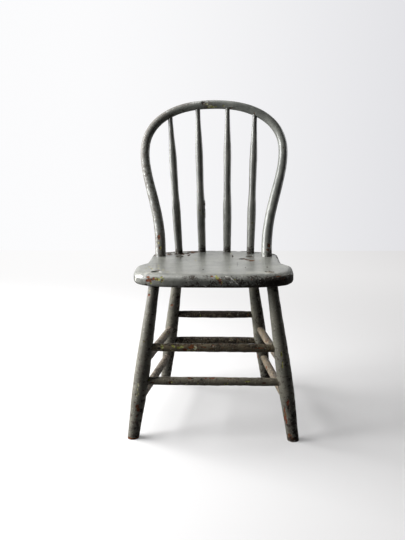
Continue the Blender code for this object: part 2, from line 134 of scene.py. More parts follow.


# %% [markdown]
# ## Floor and wall
# The photograph was taken in a plain pale room. A real wall and floor stand here instead of a
# flat background, because the half-gloss seat mirrors the wall at its low angle.
#
# The Light Path node tells which kind of ray has reached a surface. To the camera the sheets are
# pale and glow a little, so they stay white while the shadow still shows. They are also painted
# darker towards the right, a painted shade where the window's light falls off. In gloss the room
# goes dark towards the right, where the real one had no window. To all other rays the sheets are
# nearly black, so that they throw no light on the chair's shaded sides.

# %% The room's colours and sizes
# The right-hand colours are darker: a painted shade, where the window's light falls off.
FLOOR_LEFT = (0.97, 0.965, 0.965, 1)
FLOOR_RIGHT = (0.70, 0.69, 0.69, 1)
FLOOR_IN_GLOSS = (0.16, 0.16, 0.16, 1)
WALL_LEFT = (0.97, 0.97, 0.98, 1)
WALL_RIGHT = (0.70, 0.70, 0.73, 1)
WALL_IN_GLOSS = (1.0, 1.0, 1.0, 1)
DARK_IN_GLOSS = (0.03, 0.03, 0.03, 1)
BOUNCE = (0.055, 0.055, 0.055, 1)
GLOW_DEPTH = (0.2, 1.5)                 # the glow grows between these two depths
FAR_SIDES = ((-1.1, -1.7), (1.2, 1.6))  # no lamp reaches past these, so the floor glows there
WALL_DISTANCE = 2.12
WALL_TOP = 3.0
ROOM_LEFT = -2.6
ROOM_RIGHT = 1.7
FLOOR_FRONT = -1.1
print("room:", ROOM_RIGHT - ROOM_LEFT, "m wide")


# %% Sheets that look pale
def plain_sheet(name, corners, material):
    mesh = bpy.data.meshes.new(name)
    mesh.from_pydata(corners, [], [(0, 1, 2, 3)])
    sheet = bpy.data.objects.new(name, mesh)
    bpy.context.scene.collection.objects.link(sheet)
    mesh.materials.append(material)
    return sheet


def pale_where_seen(name, left, right, fall, glow, lit, mirrored, gloss_fall):
    """fall: from x to x, the colour goes from left to right, darker on the right as a painted shade
    away from the window. glow: its share in front and at the back. lit: how much of the colour the
    lamps show. gloss_fall: as fall, for gloss."""
    material = bpy.data.materials.new(name)
    material.use_nodes = True
    tree = material.node_tree
    shader = tree.nodes["Principled BSDF"]
    shader.inputs["Roughness"].default_value = 0.9
    place = add_node(tree, "ShaderNodeTexCoord").outputs["Object"]
    axes = add_node(tree, "ShaderNodeSeparateXYZ", None, Vector=place).outputs
    path = add_node(tree, "ShaderNodeLightPath")
    colour = blend_colours(tree, fade(tree, axes[0], *fall), left, right)
    in_gloss = blend_colours(tree, fade(tree, axes[0], *gloss_fall), mirrored, DARK_IN_GLOSS)
    colour = blend_colours(tree, path.outputs["Is Glossy Ray"], colour, in_gloss)
    shown = maths(tree, "MAXIMUM", path.outputs["Is Camera Ray"], path.outputs["Is Glossy Ray"])
    tree.links.new(blend_colours(tree, maths(tree, "MULTIPLY", shown, lit), BOUNCE, colour),
                   shader.inputs["Base Color"])
    deeper = maths(tree, "MULTIPLY", fade(tree, axes[1], *GLOW_DEPTH), glow[1] - glow[0])
    share = maths(tree, "ADD", glow[0], deeper)
    for near, far in FAR_SIDES:
        share = maths(tree, "MAXIMUM", share, fade(tree, axes[0], near, far))
    glowing = add_node(tree, "ShaderNodeEmission", None, Color=colour)
    both = add_node(tree, "ShaderNodeMixShader", None, n0=maths(tree, "MULTIPLY", shown, share),
                    n1=shader.outputs[0], n2=glowing.outputs[0])
    tree.links.new(both.outputs[0], tree.nodes["Material Output"].inputs["Surface"])
    return material


# %% Floor and wall
floor_paint = pale_where_seen("pale_floor", FLOOR_LEFT, FLOOR_RIGHT, fall=(-0.8, 1.7),
                              glow=(0.24, 0.99), lit=0.73, mirrored=FLOOR_IN_GLOSS,
                              gloss_fall=(0.05, 0.6))
wall_paint = pale_where_seen("pale_wall", WALL_LEFT, WALL_RIGHT, fall=(-0.9, 1.9),
                             glow=(1.0, 1.0), lit=1.0, mirrored=WALL_IN_GLOSS,
                             gloss_fall=(0.45, 1.0))
plain_sheet("floor", [(ROOM_LEFT, FLOOR_FRONT, 0), (ROOM_RIGHT, FLOOR_FRONT, 0),
                      (ROOM_RIGHT, WALL_DISTANCE, 0), (ROOM_LEFT, WALL_DISTANCE, 0)], floor_paint)
plain_sheet("wall", [(ROOM_LEFT, WALL_DISTANCE, 0), (ROOM_RIGHT, WALL_DISTANCE, 0),
                     (ROOM_RIGHT, WALL_DISTANCE, WALL_TOP), (ROOM_LEFT, WALL_DISTANCE, WALL_TOP)],
            wall_paint)
print("stage: floor and wall")

# %% [markdown]
# ## Light
# One broad soft window stands on the left, so the left sides of the turned pieces are pale and
# their right sides fall to near black. A light above fills the seat and the top of the hoop. The
# real room gave hardly any light from the right. A faint one stands there all the same, so that
# the chair can be made out from that side too.

# %% Three soft lights and a dim world
SOFT_LIGHTS = (
    # name, place, aimed at, width, height, watts
    ("window_left", (-1.75, 0.04, 0.98), (0, 0, 0.38), 1.8, 1.2, 98),
    ("ceiling", (-0.9, 0.3, 2.4), (0, 0, 0.2), 1.6, 1.8, 42),
    ("fill_right", (1.8, 1.1, 0.9), (0, 0, 0.35), 1.5, 1.4, 13),
)
WORLD_DIM = (0.018, 0.018, 0.02, 1)
WORLD_SEEN = (0.9, 0.9, 0.9, 1)

for name, place, aim_at, width, height, power in SOFT_LIGHTS:
    data = bpy.data.lights.new(name, "AREA")
    data.shape = "RECTANGLE"
    data.size = width
    data.size_y = height
    data.energy = power
    lamp = bpy.data.objects.new(name, data)
    bpy.context.scene.collection.objects.link(lamp)
    lamp.location = place
    lamp.rotation_euler = (Vector(aim_at) - Vector(place)).to_track_quat("-Z", "Y").to_euler()

world = bpy.data.worlds.new("room")
world.use_nodes = True
tree = world.node_tree
seen = add_node(tree, "ShaderNodeLightPath").outputs["Is Camera Ray"]
tree.links.new(blend_colours(tree, seen, WORLD_DIM, WORLD_SEEN),
               tree.nodes["Background"].inputs["Color"])
bpy.context.scene.world = world
bpy.context.scene.view_settings.view_transform = "Standard"
print("soft lights:", len(SOFT_LIGHTS))

# %% [markdown]
# ## Old paint, as a node group
# On the real chair a chip is a small terrace. Grey lies on top, then cream, yellow-green, dark
# green and dark red coats, a brown wood, and black dirt in the deepest places. A picture of that
# would fit only one piece. A node group is built once and works on every piece, because each
# mesh carries four numbers at each point:
#
# - `bare`, how surely the top coat is gone,
# - `coat`, how deep the chip goes, which picks the coat laid bare,
# - `rubbed_and_painted_light`, how thin the top coat is worn, and also a painted highlight on
#   the seat's lip and a painted shade on the hoop's upper left,
# - `grime_and_shade`, how dirty it is, and also painted shade on the shaded sides of the legs,
#   the hoop and the seat's front.
#
# The group turns them into a colour, a roughness, a varnish and a height. Noise breaks up every
# edge, so the meshes needn't be fine enough to draw it.

# %% The coats, from the top down
COAT_STEPS = (
    (0.16, (0.40, 0.38, 0.27)),                                         # cream
    (0.20, (0.30, 0.30, 0.07)), (0.34, (0.27, 0.28, 0.05)),             # yellow-green
    (0.38, (0.07, 0.09, 0.03)), (0.46, (0.07, 0.09, 0.03)),             # dark green
    (0.50, (0.14, 0.018, 0.011)), (0.62, (0.11, 0.015, 0.010)),         # dark red
    (0.66, (0.25, 0.080, 0.016)), (0.72, (0.19, 0.060, 0.015)),         # orange
    (0.77, (0.10, 0.045, 0.020)), (0.86, (0.05, 0.026, 0.014)),         # brown wood
    (0.92, (0.016, 0.011, 0.008)),                                      # black dirt
)
DIRT_AND_SHADE = (0.030, 0.022, 0.015, 1)
PIT = (0.016, 0.012, 0.009, 1)
FLECK = (0.44, 0.42, 0.37, 1)
CLOUD_DARK = (0.74, 0.74, 0.72, 1)
CLOUD_LIGHT = (1.24, 1.23, 1.18, 1)
print("steps of colour:", len(COAT_STEPS))

# %% The group's sockets and its noises
CLOUDS, BLOTCHES, FINE, GRIT = 24.0, 150.0, 480.0, 1000.0       # waves in a metre


def centred(tree, value, size):
    """A noise value, moved to be about zero and scaled."""
    return maths(tree, "MULTIPLY", maths(tree, "SUBTRACT", value, 0.5), size)


group, given, result = new_group(
    "coats_of_paint",
    [("Place", "Vector"), ("Bare", "Float"), ("Coat", "Float"), ("Rubbed_and_painted_light", "Float"),
     ("Grime_and_shade", "Float"), ("Speckle", "Float"), ("Tone", "Color"), ("Under_and_painted_light", "Color"),
     ("Gloss", "Float"), ("Shine", "Float")],
    [("Color", "Color"), ("Roughness", "Float"), ("Varnish", "Float"), ("Height", "Float")])
place = given["Place"]
cloudy = noise(group, place, CLOUDS, 3.0)
blotchy = noise(group, place, BLOTCHES, 4.0, 0.6)
fine = noise(group, place, FINE, 3.0, 0.6)
grit = noise(group, place, GRIT)
print("group made:", group.name)

# %% [markdown]
# ### Chips
# A chip's edge has to be sharp, because a paint film breaks and doesn't fade. So `bare` plus some
# noise is cut off in a narrow window. The coat laid bare comes from a colour ramp, and more noise
# moves along that ramp, so that a chip shows a rim of one coat round the next.

# %% Chips down through the coats
CHIP_EDGE = (0.42, 0.52)
CHIP_RAGGED = 0.9
COAT_GRAIN = 330.0
COAT_MIXED = 1.1

gone = fade(group, maths(group, "ADD", given["Bare"], centred(group, fine, CHIP_RAGGED)),
            *CHIP_EDGE)
coat_noise = centred(group, noise(group, place, COAT_GRAIN), COAT_MIXED)
coats = group.nodes.new("ShaderNodeValToRGB")
group.links.new(maths(group, "ADD", given["Coat"], coat_noise, True), coats.inputs["Fac"])
while len(coats.color_ramp.elements) < len(COAT_STEPS):
    coats.color_ramp.elements.new(0.5)
for element, (at, colour) in zip(coats.color_ramp.elements, COAT_STEPS):
    element.position = at
    element.color = (*colour, 1)
print("ramp steps:", len(coats.color_ramp.elements))

# %% [markdown]
# ### The top coat
# Old grey paint isn't one grey. It is cloudy, it is thin where hands and legs rub it, and dirt
# lies in patches. Each of these is a mask that blends one colour over the last: clouds, wear,
# dirt, pale flecks and dark pits, with the chips on top of them all. On some pieces the wear mask
# also carries painted highlight and painted shade, and the dirt mask carries painted shade.

# %% The worn and dirty top coat, with painted light and shade
CLOUD_EDGE = (0.30, 0.72)
THIN_AND_PAINTED_LIGHT_EDGE = (0.42, 0.62)
DIRT_AND_SHADE_EDGE = (0.40, 0.66)
FLECK_EDGE = (0.76, 0.81)
PIT_EDGE = (0.78, 0.83)
DIRT_AND_SHADE_PATCHES, DIRT_AND_SHADE_GRAIN, FLECKS = 75.0, 260.0, 420.0           # waves in a metre

clouds = fade(group, maths(group, "ADD", cloudy, centred(group, blotchy, 0.5)), *CLOUD_EDGE)
surface = add_node(group, "ShaderNodeMix", {"data_type": "RGBA", "blend_type": "MULTIPLY"}, n0=1.0,
                   n6=given["Tone"],
                   n7=blend_colours(group, clouds, CLOUD_DARK, CLOUD_LIGHT)).outputs[2]
thin_and_painted_light = fade(group, maths(group, "ADD", given["Rubbed_and_painted_light"], centred(group, blotchy, 1.5)), *THIN_AND_PAINTED_LIGHT_EDGE)
surface = blend_colours(group, thin_and_painted_light, surface, given["Under_and_painted_light"])
patchy = maths(group, "ADD", given["Grime_and_shade"],
               centred(group, noise(group, place, DIRT_AND_SHADE_PATCHES), 0.9))
grainy = centred(group, noise(group, place, DIRT_AND_SHADE_GRAIN, 5.0, 0.7), 1.6)
dirt_and_shade = fade(group, maths(group, "ADD", patchy, grainy), *DIRT_AND_SHADE_EDGE)
surface = blend_colours(group, dirt_and_shade, surface, DIRT_AND_SHADE)
few = maths(group, "MULTIPLY", given["Speckle"], 0.10)
fleck = fade(group, maths(group, "ADD", noise(group, place, FLECKS), few), *FLECK_EDGE)
surface = blend_colours(group, fleck, surface, FLECK)
pit = fade(group, maths(group, "ADD", grit, few), *PIT_EDGE)
surface = blend_colours(group, pit, surface, PIT)
group.links.new(blend_colours(group, gone, surface, coats.outputs["Color"]), result["Color"])
print("nodes in the group:", len(group.nodes))

# %% [markdown]
# ### Gloss and relief
# Sound paint shines, and bare wood, dirt and thin paint don't. So one mask of everything that is
# bad, painted shade and painted light included, raises the roughness and takes the varnish away.
# The height falls where the film is gone.

# %% Gloss and relief
THIN_AND_PAINTED_LIGHT_IS_BAD = 0.6
DULLED = 0.50
UNEVEN_GLOSS = 0.22
FILM_DROP = -0.8

bad = maths(group, "MAXIMUM", maths(group, "MAXIMUM", gone, dirt_and_shade),
            maths(group, "MULTIPLY", thin_and_painted_light, THIN_AND_PAINTED_LIGHT_IS_BAD))
dulled = maths(group, "ADD", given["Gloss"], maths(group, "MULTIPLY", bad, DULLED))
group.links.new(maths(group, "ADD", dulled, centred(group, blotchy, UNEVEN_GLOSS), True),
                result["Roughness"])
group.links.new(maths(group, "MULTIPLY", maths(group, "SUBTRACT", 1.0, bad, True),
                      given["Shine"]), result["Varnish"])
film = maths(group, "MULTIPLY", maths(group, "MAXIMUM", gone, pit), FILM_DROP)
texture = maths(group, "ADD", maths(group, "MULTIPLY", blotchy, 0.9),
                maths(group, "MULTIPLY", fine, 0.45))
group.links.new(maths(group, "ADD", film, texture), result["Height"])
print("outputs joined:", sum(socket.is_linked for socket in result[:4]))

# %% [markdown]
# ## The painted materials
# Every piece has the same coats, but not the same colour or shine. The hoop and spindles are the
# glossiest, the seat is rubbed pale, partly as a painted highlight on its lip, and feet have
# rubbed the rungs brown, cream or olive. The material holds the shader, and the group feeds its
# colour, roughness, varnish and bump.

# %% Painted materials
coats_group = group
# Besides wear and dirt, these attributes carry painted highlight and painted shade on some pieces.
ATTRIBUTES = {"bare": "Bare", "coat": "Coat", "rubbed_and_painted_light": "Rubbed_and_painted_light", "grime_and_shade": "Grime_and_shade"}
BUMP_STRENGTH = 0.7


def painted(name, tone, under_and_painted_light, gloss=0.42, shine=0.3, speckle=0.5, relief=0.0005, varnish=0.30):
    """gloss and varnish are roughnesses, and relief is the bump's depth in metres."""
    material = bpy.data.materials.new(name)
    material.use_nodes = True
    tree = material.node_tree
    shader = tree.nodes["Principled BSDF"]
    coat = tree.nodes.new("ShaderNodeGroup")
    coat.node_tree = coats_group
    tree.links.new(add_node(tree, "ShaderNodeTexCoord").outputs["Object"], coat.inputs["Place"])
    for attribute, socket in ATTRIBUTES.items():
        read = add_node(tree, "ShaderNodeAttribute", {"attribute_name": attribute})
        tree.links.new(read.outputs["Fac"], coat.inputs[socket])
    for socket, value in (("Tone", (*tone, 1)), ("Under_and_painted_light", (*under_and_painted_light, 1)), ("Gloss", gloss),
                          ("Shine", shine), ("Speckle", speckle)):
        coat.inputs[socket].default_value = value
    tree.links.new(coat.outputs["Color"], shader.inputs["Base Color"])
    tree.links.new(coat.outputs["Roughness"], shader.inputs["Roughness"])
    tree.links.new(coat.outputs["Varnish"], shader.inputs["Coat Weight"])
    shader.inputs["Coat Roughness"].default_value = varnish
    bump = add_node(tree, "ShaderNodeBump", None, Strength=BUMP_STRENGTH, Distance=relief,
                    Height=coat.outputs["Height"])
    tree.links.new(bump.outputs["Normal"], shader.inputs["Normal"])
    return material


# %% One paint for each kind of piece
GREY = (0.168, 0.172, 0.158)
GLOSSY_GREY = (0.208, 0.216, 0.202)
WARM_GREY = (0.172, 0.166, 0.138)
BROWN = (0.075, 0.058, 0.040)

# The seat's pale under colour shows on its worn front lip, where it is also a painted highlight.
seat_paint = painted("grey_seat_paint", GREY, (0.36, 0.355, 0.32), gloss=0.37, shine=0.42,
                     speckle=1.0, relief=0.0014)
# The hoop's dark under colour shows where it is worn, and on the upper left's outer side as a
# painted shade.
hoop_paint = painted("grey_hoop_paint", GLOSSY_GREY, (0.11, 0.10, 0.085), gloss=0.38, shine=0.70,
                     speckle=0.35, relief=0.0006, varnish=0.27)
spindle_paint = painted("grey_spindle_paint", GREY, (0.10, 0.09, 0.07), gloss=0.38, shine=0.70,
                        speckle=0.6, relief=0.0008, varnish=0.28)
leg_paint = painted("grey_leg_paint", WARM_GREY, (0.085, 0.070, 0.054), gloss=0.50, shine=0.12,
                    speckle=1.0, relief=0.0008)
rung_paint = painted("rubbed_rung_paint", (0.150, 0.134, 0.100), BROWN, gloss=0.55, shine=0.05,
                     speckle=1.0, relief=0.0010)
cream_rung_paint = painted("cream_rung_paint", (0.16, 0.13, 0.10), (0.27, 0.21, 0.14), gloss=0.55,
                           shine=0.05, speckle=1.0, relief=0.0010)
olive_rung_paint = painted("olive_rung_paint", (0.120, 0.098, 0.060), (0.12, 0.070, 0.032),
                           gloss=0.52, shine=0.08, speckle=1.0, relief=0.0010)
print("materials:", len(bpy.data.materials))

# %% [markdown]
# ## Noise for shapes
# The shader's noise can't move a mesh, so the shapes use a small noise of their own. It gives a
# smooth random number for any point, and the same one in every run.

# %% Noise in plain numbers
def lattice(cell, seed):
    """A fixed random number from 0 to 1 for each whole-numbered cell. The large numbers only
    stir the bits."""
    mixed = (cell[..., 0] * 73856093) ^ (cell[..., 1] * 19349663) ^ (cell[..., 2] * 83492791)
    mixed = (mixed ^ (seed * 2654435761)) & 0xFFFFFFFF
    mixed = ((mixed ^ (mixed >> 15)) * 2246822519) & 0xFFFFFFFF
    mixed = ((mixed ^ (mixed >> 13)) * 3266489917) & 0xFFFFFFFF
    return (mixed ^ (mixed >> 16)) / 0xFFFFFFFF


def smooth_noise(points, size, seed=1):
    """From -1 to 1, with bumps about size metres wide."""
    grid = np.asarray(points) / size
    cell = np.floor(grid).astype(np.int64)
    part = grid - cell
    part = part * part * (3 - 2 * part)
    total = np.zeros(grid.shape[:-1])
    for corner in np.ndindex(2, 2, 2):
        share = np.prod(np.where(np.array(corner) == 1, part, 1 - part), axis=-1)
        total += share * lattice(cell + np.array(corner), seed)
    return total * 2 - 1


def rough_noise(points, size, seed=1, octaves=3):
    total = sum(smooth_noise(points, size / 2 ** i, seed + i) / 2 ** i for i in range(octaves))
    return total / sum(0.5 ** i for i in range(octaves))


def smoothstep(t):
    t = np.clip(t, 0, 1)
    return t * t * (3 - 2 * t)


def mix(a, b, t):
    return a + (b - a) * t


print("noise at one place:", round(float(smooth_noise(np.array([0.5, 0.5, 0.5]), 1.0)), 3))

# %% [markdown]
# ## Wear on a mesh
# A chip is a dent with ragged sides. For each one the code measures how far every point is from
# the chip's centre, in units of its size, and makes that distance ragged with noise. Deep places
# are cut back along the surface's normal, so that the chip is in the shape and not only in the
# colour. A bump or a gouge is the same blob with a height of its own.

# %% A mesh from points, and a ragged blob
FILM = 0.00045                  # all coats together, in metres
BLOB_REACH = 1.25               # the blob's edge, in sizes from its centre
BLOB_RAGGED = 0.60
BLOB_STEEP = 2.4


def as_object(name, vertices, faces, material):
    mesh = bpy.data.meshes.new(name)
    mesh.from_pydata([tuple(v) for v in vertices], [], faces)
    mesh.validate()
    mesh.materials.append(material)
    piece = bpy.data.objects.new(name, mesh)
    bpy.context.scene.collection.objects.link(piece)
    return piece


def tube_faces(rings, around, flip=False):
    """Joins rings of points, and closes each end round one of the last two points."""
    faces = []
    for ring in range(rings):
        a, b = ring * around, (ring + 1) * around
        for i in range(around):
            j = (i + 1) % around
            faces.append((a + i, a + j, b + j, b + i))
    low, high, top = (rings + 1) * around, (rings + 1) * around + 1, rings * around
    for i in range(around):
        j = (i + 1) % around
        faces.append((low, j, i))
        faces.append((high, top + i, top + j))
    return [(face[0], *face[:0:-1]) for face in faces] if flip else faces


def blob(points, chip, ragged):
    """1 inside a chip and 0 outside, with a ragged edge."""
    x, y, z, size_x, size_y, size_z = chip[:6]
    far = np.sqrt((((points - (x, y, z)) / (size_x, size_y, size_z)) ** 2).sum(1))
    return np.clip((BLOB_REACH + BLOB_RAGGED * ragged - far) * BLOB_STEEP, 0, 1)


# %% Chips at random
SPOT_SIZE, SPOT_PATCH, SPOT_COAT = 0.007, 0.05, 0.02    # of the noises that place them
SPOT_RARE = 0.66
SPOT_STEEP = 9
MIDDLE_COAT = 0.62
COAT_SPREAD = 0.55


def scattered(points, amount, seed):
    """Small chips in loose groups, and the coat that each lays bare."""
    spots = rough_noise(points, SPOT_SIZE, seed + 31, 3)
    where = smoothstep((rough_noise(points, SPOT_PATCH, seed + 17, 2) + 0.3) * 2)
    here = np.clip((spots - (SPOT_RARE - amount)) * SPOT_STEEP, 0, 1) * where
    return here, MIDDLE_COAT + COAT_SPREAD * rough_noise(points, SPOT_COAT, seed + 23, 1)


# %% Wear
RAGGED_SIZE, RAGGED_FINE = 0.0050, 0.0020


def weather(piece, chips=(), rubbed_and_painted_light=0.0, grime_and_shade=0.0, scatter=0.0, seed=1, dents=0.0, lumps=0.012,
            bumps=()):
    """A chip is x, y, z, its size along x, y and z, and the coat it lays bare, from 0 to 1. A
    bump has its height in metres in the last place. The wear and dirt arguments are each a number
    or a rule, and on some pieces they also carry painted light and painted shade."""
    mesh = piece.data
    count = len(mesh.vertices)
    points = np.empty(count * 3)
    normals = np.empty(count * 3)
    mesh.vertices.foreach_get("co", points)
    mesh.vertex_normals.foreach_get("vector", normals)
    points, normals = points.reshape(-1, 3), normals.reshape(-1, 3)
    ragged = (rough_noise(points, RAGGED_SIZE, seed + 7)
              + 0.6 * smooth_noise(points, RAGGED_FINE, seed + 9))
    bare = np.zeros(count)
    coat = np.full(count, 0.6)
    found = [(blob(points, chip, ragged), chip[6]) for chip in chips]
    if scatter:
        found.append(scattered(points, scatter, seed))
    for here, depth in found:
        coat = np.where(here > bare, depth, coat)
        bare = np.maximum(bare, here)
    fields = {"bare": bare, "coat": coat}
    for label, rule in (("rubbed_and_painted_light", rubbed_and_painted_light), ("grime_and_shade", grime_and_shade)):
        fields[label] = rule(points, normals) if callable(rule) else np.full(count, float(rule))
    points -= normals * (FILM * smoothstep(bare))[:, None]
    if dents:
        points += normals * (dents * rough_noise(points, lumps, seed + 3, 3))[:, None]
    for bump in bumps:
        points += normals * (bump[6] * blob(points, bump, 0.4 * ragged))[:, None]
    mesh.vertices.foreach_set("co", points.ravel())
    for label, values in fields.items():
        layer = mesh.attributes.new(label, "FLOAT", "POINT")
        layer.data.foreach_set("value", values.astype(np.float32))
    mesh.shade_smooth()
    mesh.update()
    return piece


def settle(piece, node):
    """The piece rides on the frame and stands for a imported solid."""
    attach(piece, "root")
    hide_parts(node)
    mesh = piece.data
    print(f"{piece.name}: {len(mesh.vertices)} points")
    return piece


# %% [markdown]
# ## Turned pieces
# Legs, rungs and spindles come off a lathe: a profile spun round an axis. Here the profile is a
# few stations, eased into each other. A hand-held gouge never leaves a true circle, so the radius
# wanders by a few tenths of a millimetre.

# %% The lathe
WANDER = 0.00022
WANDER_SIZE = 0.035


def eased(stations, at):
    """The radius at each distance, smooth between the stations."""
    distance = np.array([s[0] for s in stations])
    radius = np.array([s[1] for s in stations])
    here = np.clip(np.searchsorted(distance, at, side="right") - 1, 0, len(stations) - 2)
    share = (at - distance[here]) / (distance[here + 1] - distance[here])
    return mix(radius[here], radius[here + 1], smoothstep(share))


def turn(name, start, end, stations, material, around=48, step=0.0012, level=None, seed=1):
    """level=(low, high) slices the piece at two heights instead of square to its axis."""
    start, end = np.array(start, float), np.array(end, float)
    length = np.linalg.norm(end - start)
    along = (end - start) / length
    guide = np.array([1.0, 0, 0]) if abs(along[0]) < 0.9 else np.array([0, 1.0, 0])
    side = guide - along * (guide @ along)
    side /= np.linalg.norm(side)
    third = np.cross(along, side)
    first, last = stations[0][0], stations[-1][0]
    if level:
        first, last = [(height - start[2]) / along[2] for height in level]
    rings = max(int((last - first) / step), 8)
    at = np.linspace(first, last, rings + 1)
    angle = np.linspace(0, 2 * math.pi, around, endpoint=False)
    spin = np.cos(angle)[:, None] * side + np.sin(angle)[:, None] * third
    centre = start + at[:, None] * along
    radius = eased(stations, at)
    points = centre[:, None] + radius[:, None, None] * spin
    wander = WANDER * rough_noise(points, WANDER_SIZE, seed, 2)
    points += wander[..., None] * spin
    if level:
        slide = (centre[:, 2][:, None] - points[..., 2]) / along[2]
        points += slide[..., None] * along
    vertices = np.concatenate([points.reshape(-1, 3), centre[:1], centre[-1:]])
    return as_object(name, vertices, tube_faces(rings, around), material)


print("halfway from radius 1 to 3:", float(eased(((0, 1.0), (1, 3.0)), np.array([0.5]))[0]))

# %% [markdown]
# ## The seat
# The seat is a plank, sawn to an outline, then rolled over at the front edge with a spokeshave
# and dished a little. It is made here as rings: a plan outline is drawn in from the edge while
# its height follows the roll and the dish.

# %% The seat's plan and section
Y_MOVE = -0.011482              # the part's own zero to the middle of its box
SEAT_HEIGHT = 0.330
SEAT_UNDER = 0.305
SEAT_HALF_WIDTH = 0.1595
SEAT_BACK_HALF_WIDTH = 0.1412
SEAT_FRONT = -0.138
SEAT_BACK = 0.152
EAR_CENTRE = -0.060
SHOULDER_FRONT = -0.045
SHOULDER_BACK = 0.000
BACK_CORNER_START = 0.091
FRONT_FULLNESS = 3.3
BACK_FULLNESS = 2.2
UNDER_ROUND = 0.007
FRONT_ROLL = (0.021, 0.0125)    # how far the edge rolls inwards, and how far down
BACK_ROLL = (0.007, 0.006)
SADDLE_DEPTH = 0.0035
SADDLE_REACH = 0.145            # from the middle to the rim, near the spindles
EDGE_POINTS = 640


def quarter(half_width, height, fullness, steps):
    angle = np.linspace(0, math.pi / 2, steps)
    return (half_width * np.cos(angle).clip(0) ** (2 / fullness),
            height * np.sin(angle).clip(0) ** (2 / fullness))


def seat_plan():
    """The outline as evenly spaced points, starting at the middle of the front."""
    ear_x, ear_y = quarter(SEAT_HALF_WIDTH, EAR_CENTRE - SEAT_FRONT, FRONT_FULLNESS, 200)
    share = np.linspace(0, 1, 60)
    side_x = mix(SEAT_HALF_WIDTH, SEAT_BACK_HALF_WIDTH, smoothstep(share))
    side_y = mix(SHOULDER_FRONT, SHOULDER_BACK, share)
    back_x, back_y = quarter(SEAT_BACK_HALF_WIDTH, SEAT_BACK - BACK_CORNER_START,
                             BACK_FULLNESS, 200)
    x = np.concatenate([ear_x[::-1], side_x, back_x])
    y = np.concatenate([EAR_CENTRE - ear_y[::-1], side_y, BACK_CORNER_START + back_y])
    x = np.concatenate([x, -x[::-1]])
    y = np.concatenate([y, y[::-1]])
    run = np.concatenate([[0], np.cumsum(np.hypot(np.diff(x), np.diff(y)))])
    keep = np.concatenate([[True], np.diff(run) > 0])
    even = np.linspace(0, run[-1], EDGE_POINTS, endpoint=False)
    return np.interp(even, run[keep], x[keep]), np.interp(even, run[keep], y[keep])


print("points in the plan:", len(seat_plan()[0]))


# %% The seat's rings
def seat_rings():
    x, y = seat_plan()
    reach = np.hypot(x, y)
    backward = smoothstep((y - SEAT_FRONT) / (SHOULDER_BACK - SEAT_FRONT))
    inset, drop = [mix(front, back, backward) for front, back in zip(FRONT_ROLL, BACK_ROLL)]
    rings = []

    def ring(pulled_in, height):
        share = (reach - pulled_in) / reach
        rings.append(np.stack([x * share, y * share, height + 0 * x], 1))

    for share in np.linspace(0.1, 0.96, 14):                    # the underside
        ring(reach * (1 - share), SEAT_UNDER)
    for turned in np.linspace(0, math.pi / 2, 8):               # its rounded edge
        ring(UNDER_ROUND * (1 - math.sin(turned)),
             SEAT_UNDER + UNDER_ROUND * (1 - math.cos(turned)))
    for turned in np.linspace(0, math.pi / 2, 17):              # the rolled top edge
        ring(inset * (1 - math.cos(turned)), SEAT_HEIGHT - drop * (1 - math.sin(turned)))
    rim = reach - inset
    for share in np.linspace(0.985, 0.02, 62):                  # the dished top
        ring(reach - rim * share, SEAT_HEIGHT - SADDLE_DEPTH * (1 - share ** 2) ** 2)
    return rings


def make_seat():
    rings = seat_rings()
    vertices = np.concatenate(rings + [np.array([[0, 0, SEAT_UNDER],
                                                 [0, 0, SEAT_HEIGHT - SADDLE_DEPTH]])])
    vertices[:, 1] += Y_MOVE
    return as_object("plank_seat", vertices, tube_faces(len(rings) - 1, EDGE_POINTS), seat_paint)


seat = make_seat()
print("seat points:", len(seat.data.vertices))

# %% [markdown]
# ## Legs
# Each leg leans two ways, stands flat on the floor and goes right through the seat, where its
# end is cut off level and spread with a wedge. The saw's kerf for that wedge is cut with a
# Boolean, because a slot with square sides is quick to say as a box.

# %% The legs' places and sizes
LEGS = {
    # foot x and y, place at the seat's underside, height of the tenon's end
    "front_left": ((-0.1589, -0.1426), (-0.1149, -0.1058), 0.3276),
    "front_right": ((0.1589, -0.1426), (0.1149, -0.1058), 0.3292),
    "back_left": ((-0.1251, 0.1581), (-0.0815, 0.0813), 0.3278),
    "back_right": ((0.1251, 0.1581), (0.0815, 0.0813), 0.3278),
}
LEG_RADII = ((0.0, 0.0112), (0.39, 0.0151), (1.0, 0.0107))
TENON_RADIUS = 0.0086
TENON_RUN = 0.0325
KERF_DEPTH = 0.012
KERF_WIDTH = 0.0026
KERF_BOX = 0.014                # half the length of the box that cuts it, and its height
BELOW_FLOOR = 0.02              # a leg is drawn longer than it is, and cut level at the floor
PAST_UNDER, PAST_TOP = 0.01, 0.004      # how far a mortise's cutter goes past the seat
GAP = 0.0003


def leg_ends(name):
    foot, top, crown = LEGS[name]
    return (np.array([foot[0], foot[1] + Y_MOVE, 0.0]),
            np.array([top[0], top[1] + Y_MOVE, SEAT_UNDER]), crown)


def leg_stations(length, extra=0.0):
    stations = [(share * length, radius + extra) for share, radius in LEG_RADII]
    stations[0] = (-BELOW_FLOOR, LEG_RADII[0][1] + extra)
    return stations + [(length + TENON_RUN, TENON_RADIUS + extra)]


for name in LEGS:
    foot, top, crown = leg_ends(name)
    print(f"{name}: {np.linalg.norm(top - foot):.4f} m from the floor to the seat")

# %% Cutting one piece out of another
def carve(piece, cutter):
    """Cuts one mesh out of another, and throws the cutter away."""
    step = piece.modifiers.new("cut", "BOOLEAN")
    step.operation = "DIFFERENCE"
    step.solver = "EXACT"
    step.object = cutter
    graph = bpy.context.evaluated_depsgraph_get()
    mesh = bpy.data.meshes.new_from_object(piece.evaluated_get(graph))
    piece.modifiers.clear()
    old = piece.data
    piece.data = mesh
    bpy.data.meshes.remove(old)
    bpy.data.objects.remove(cutter, do_unlink=True)


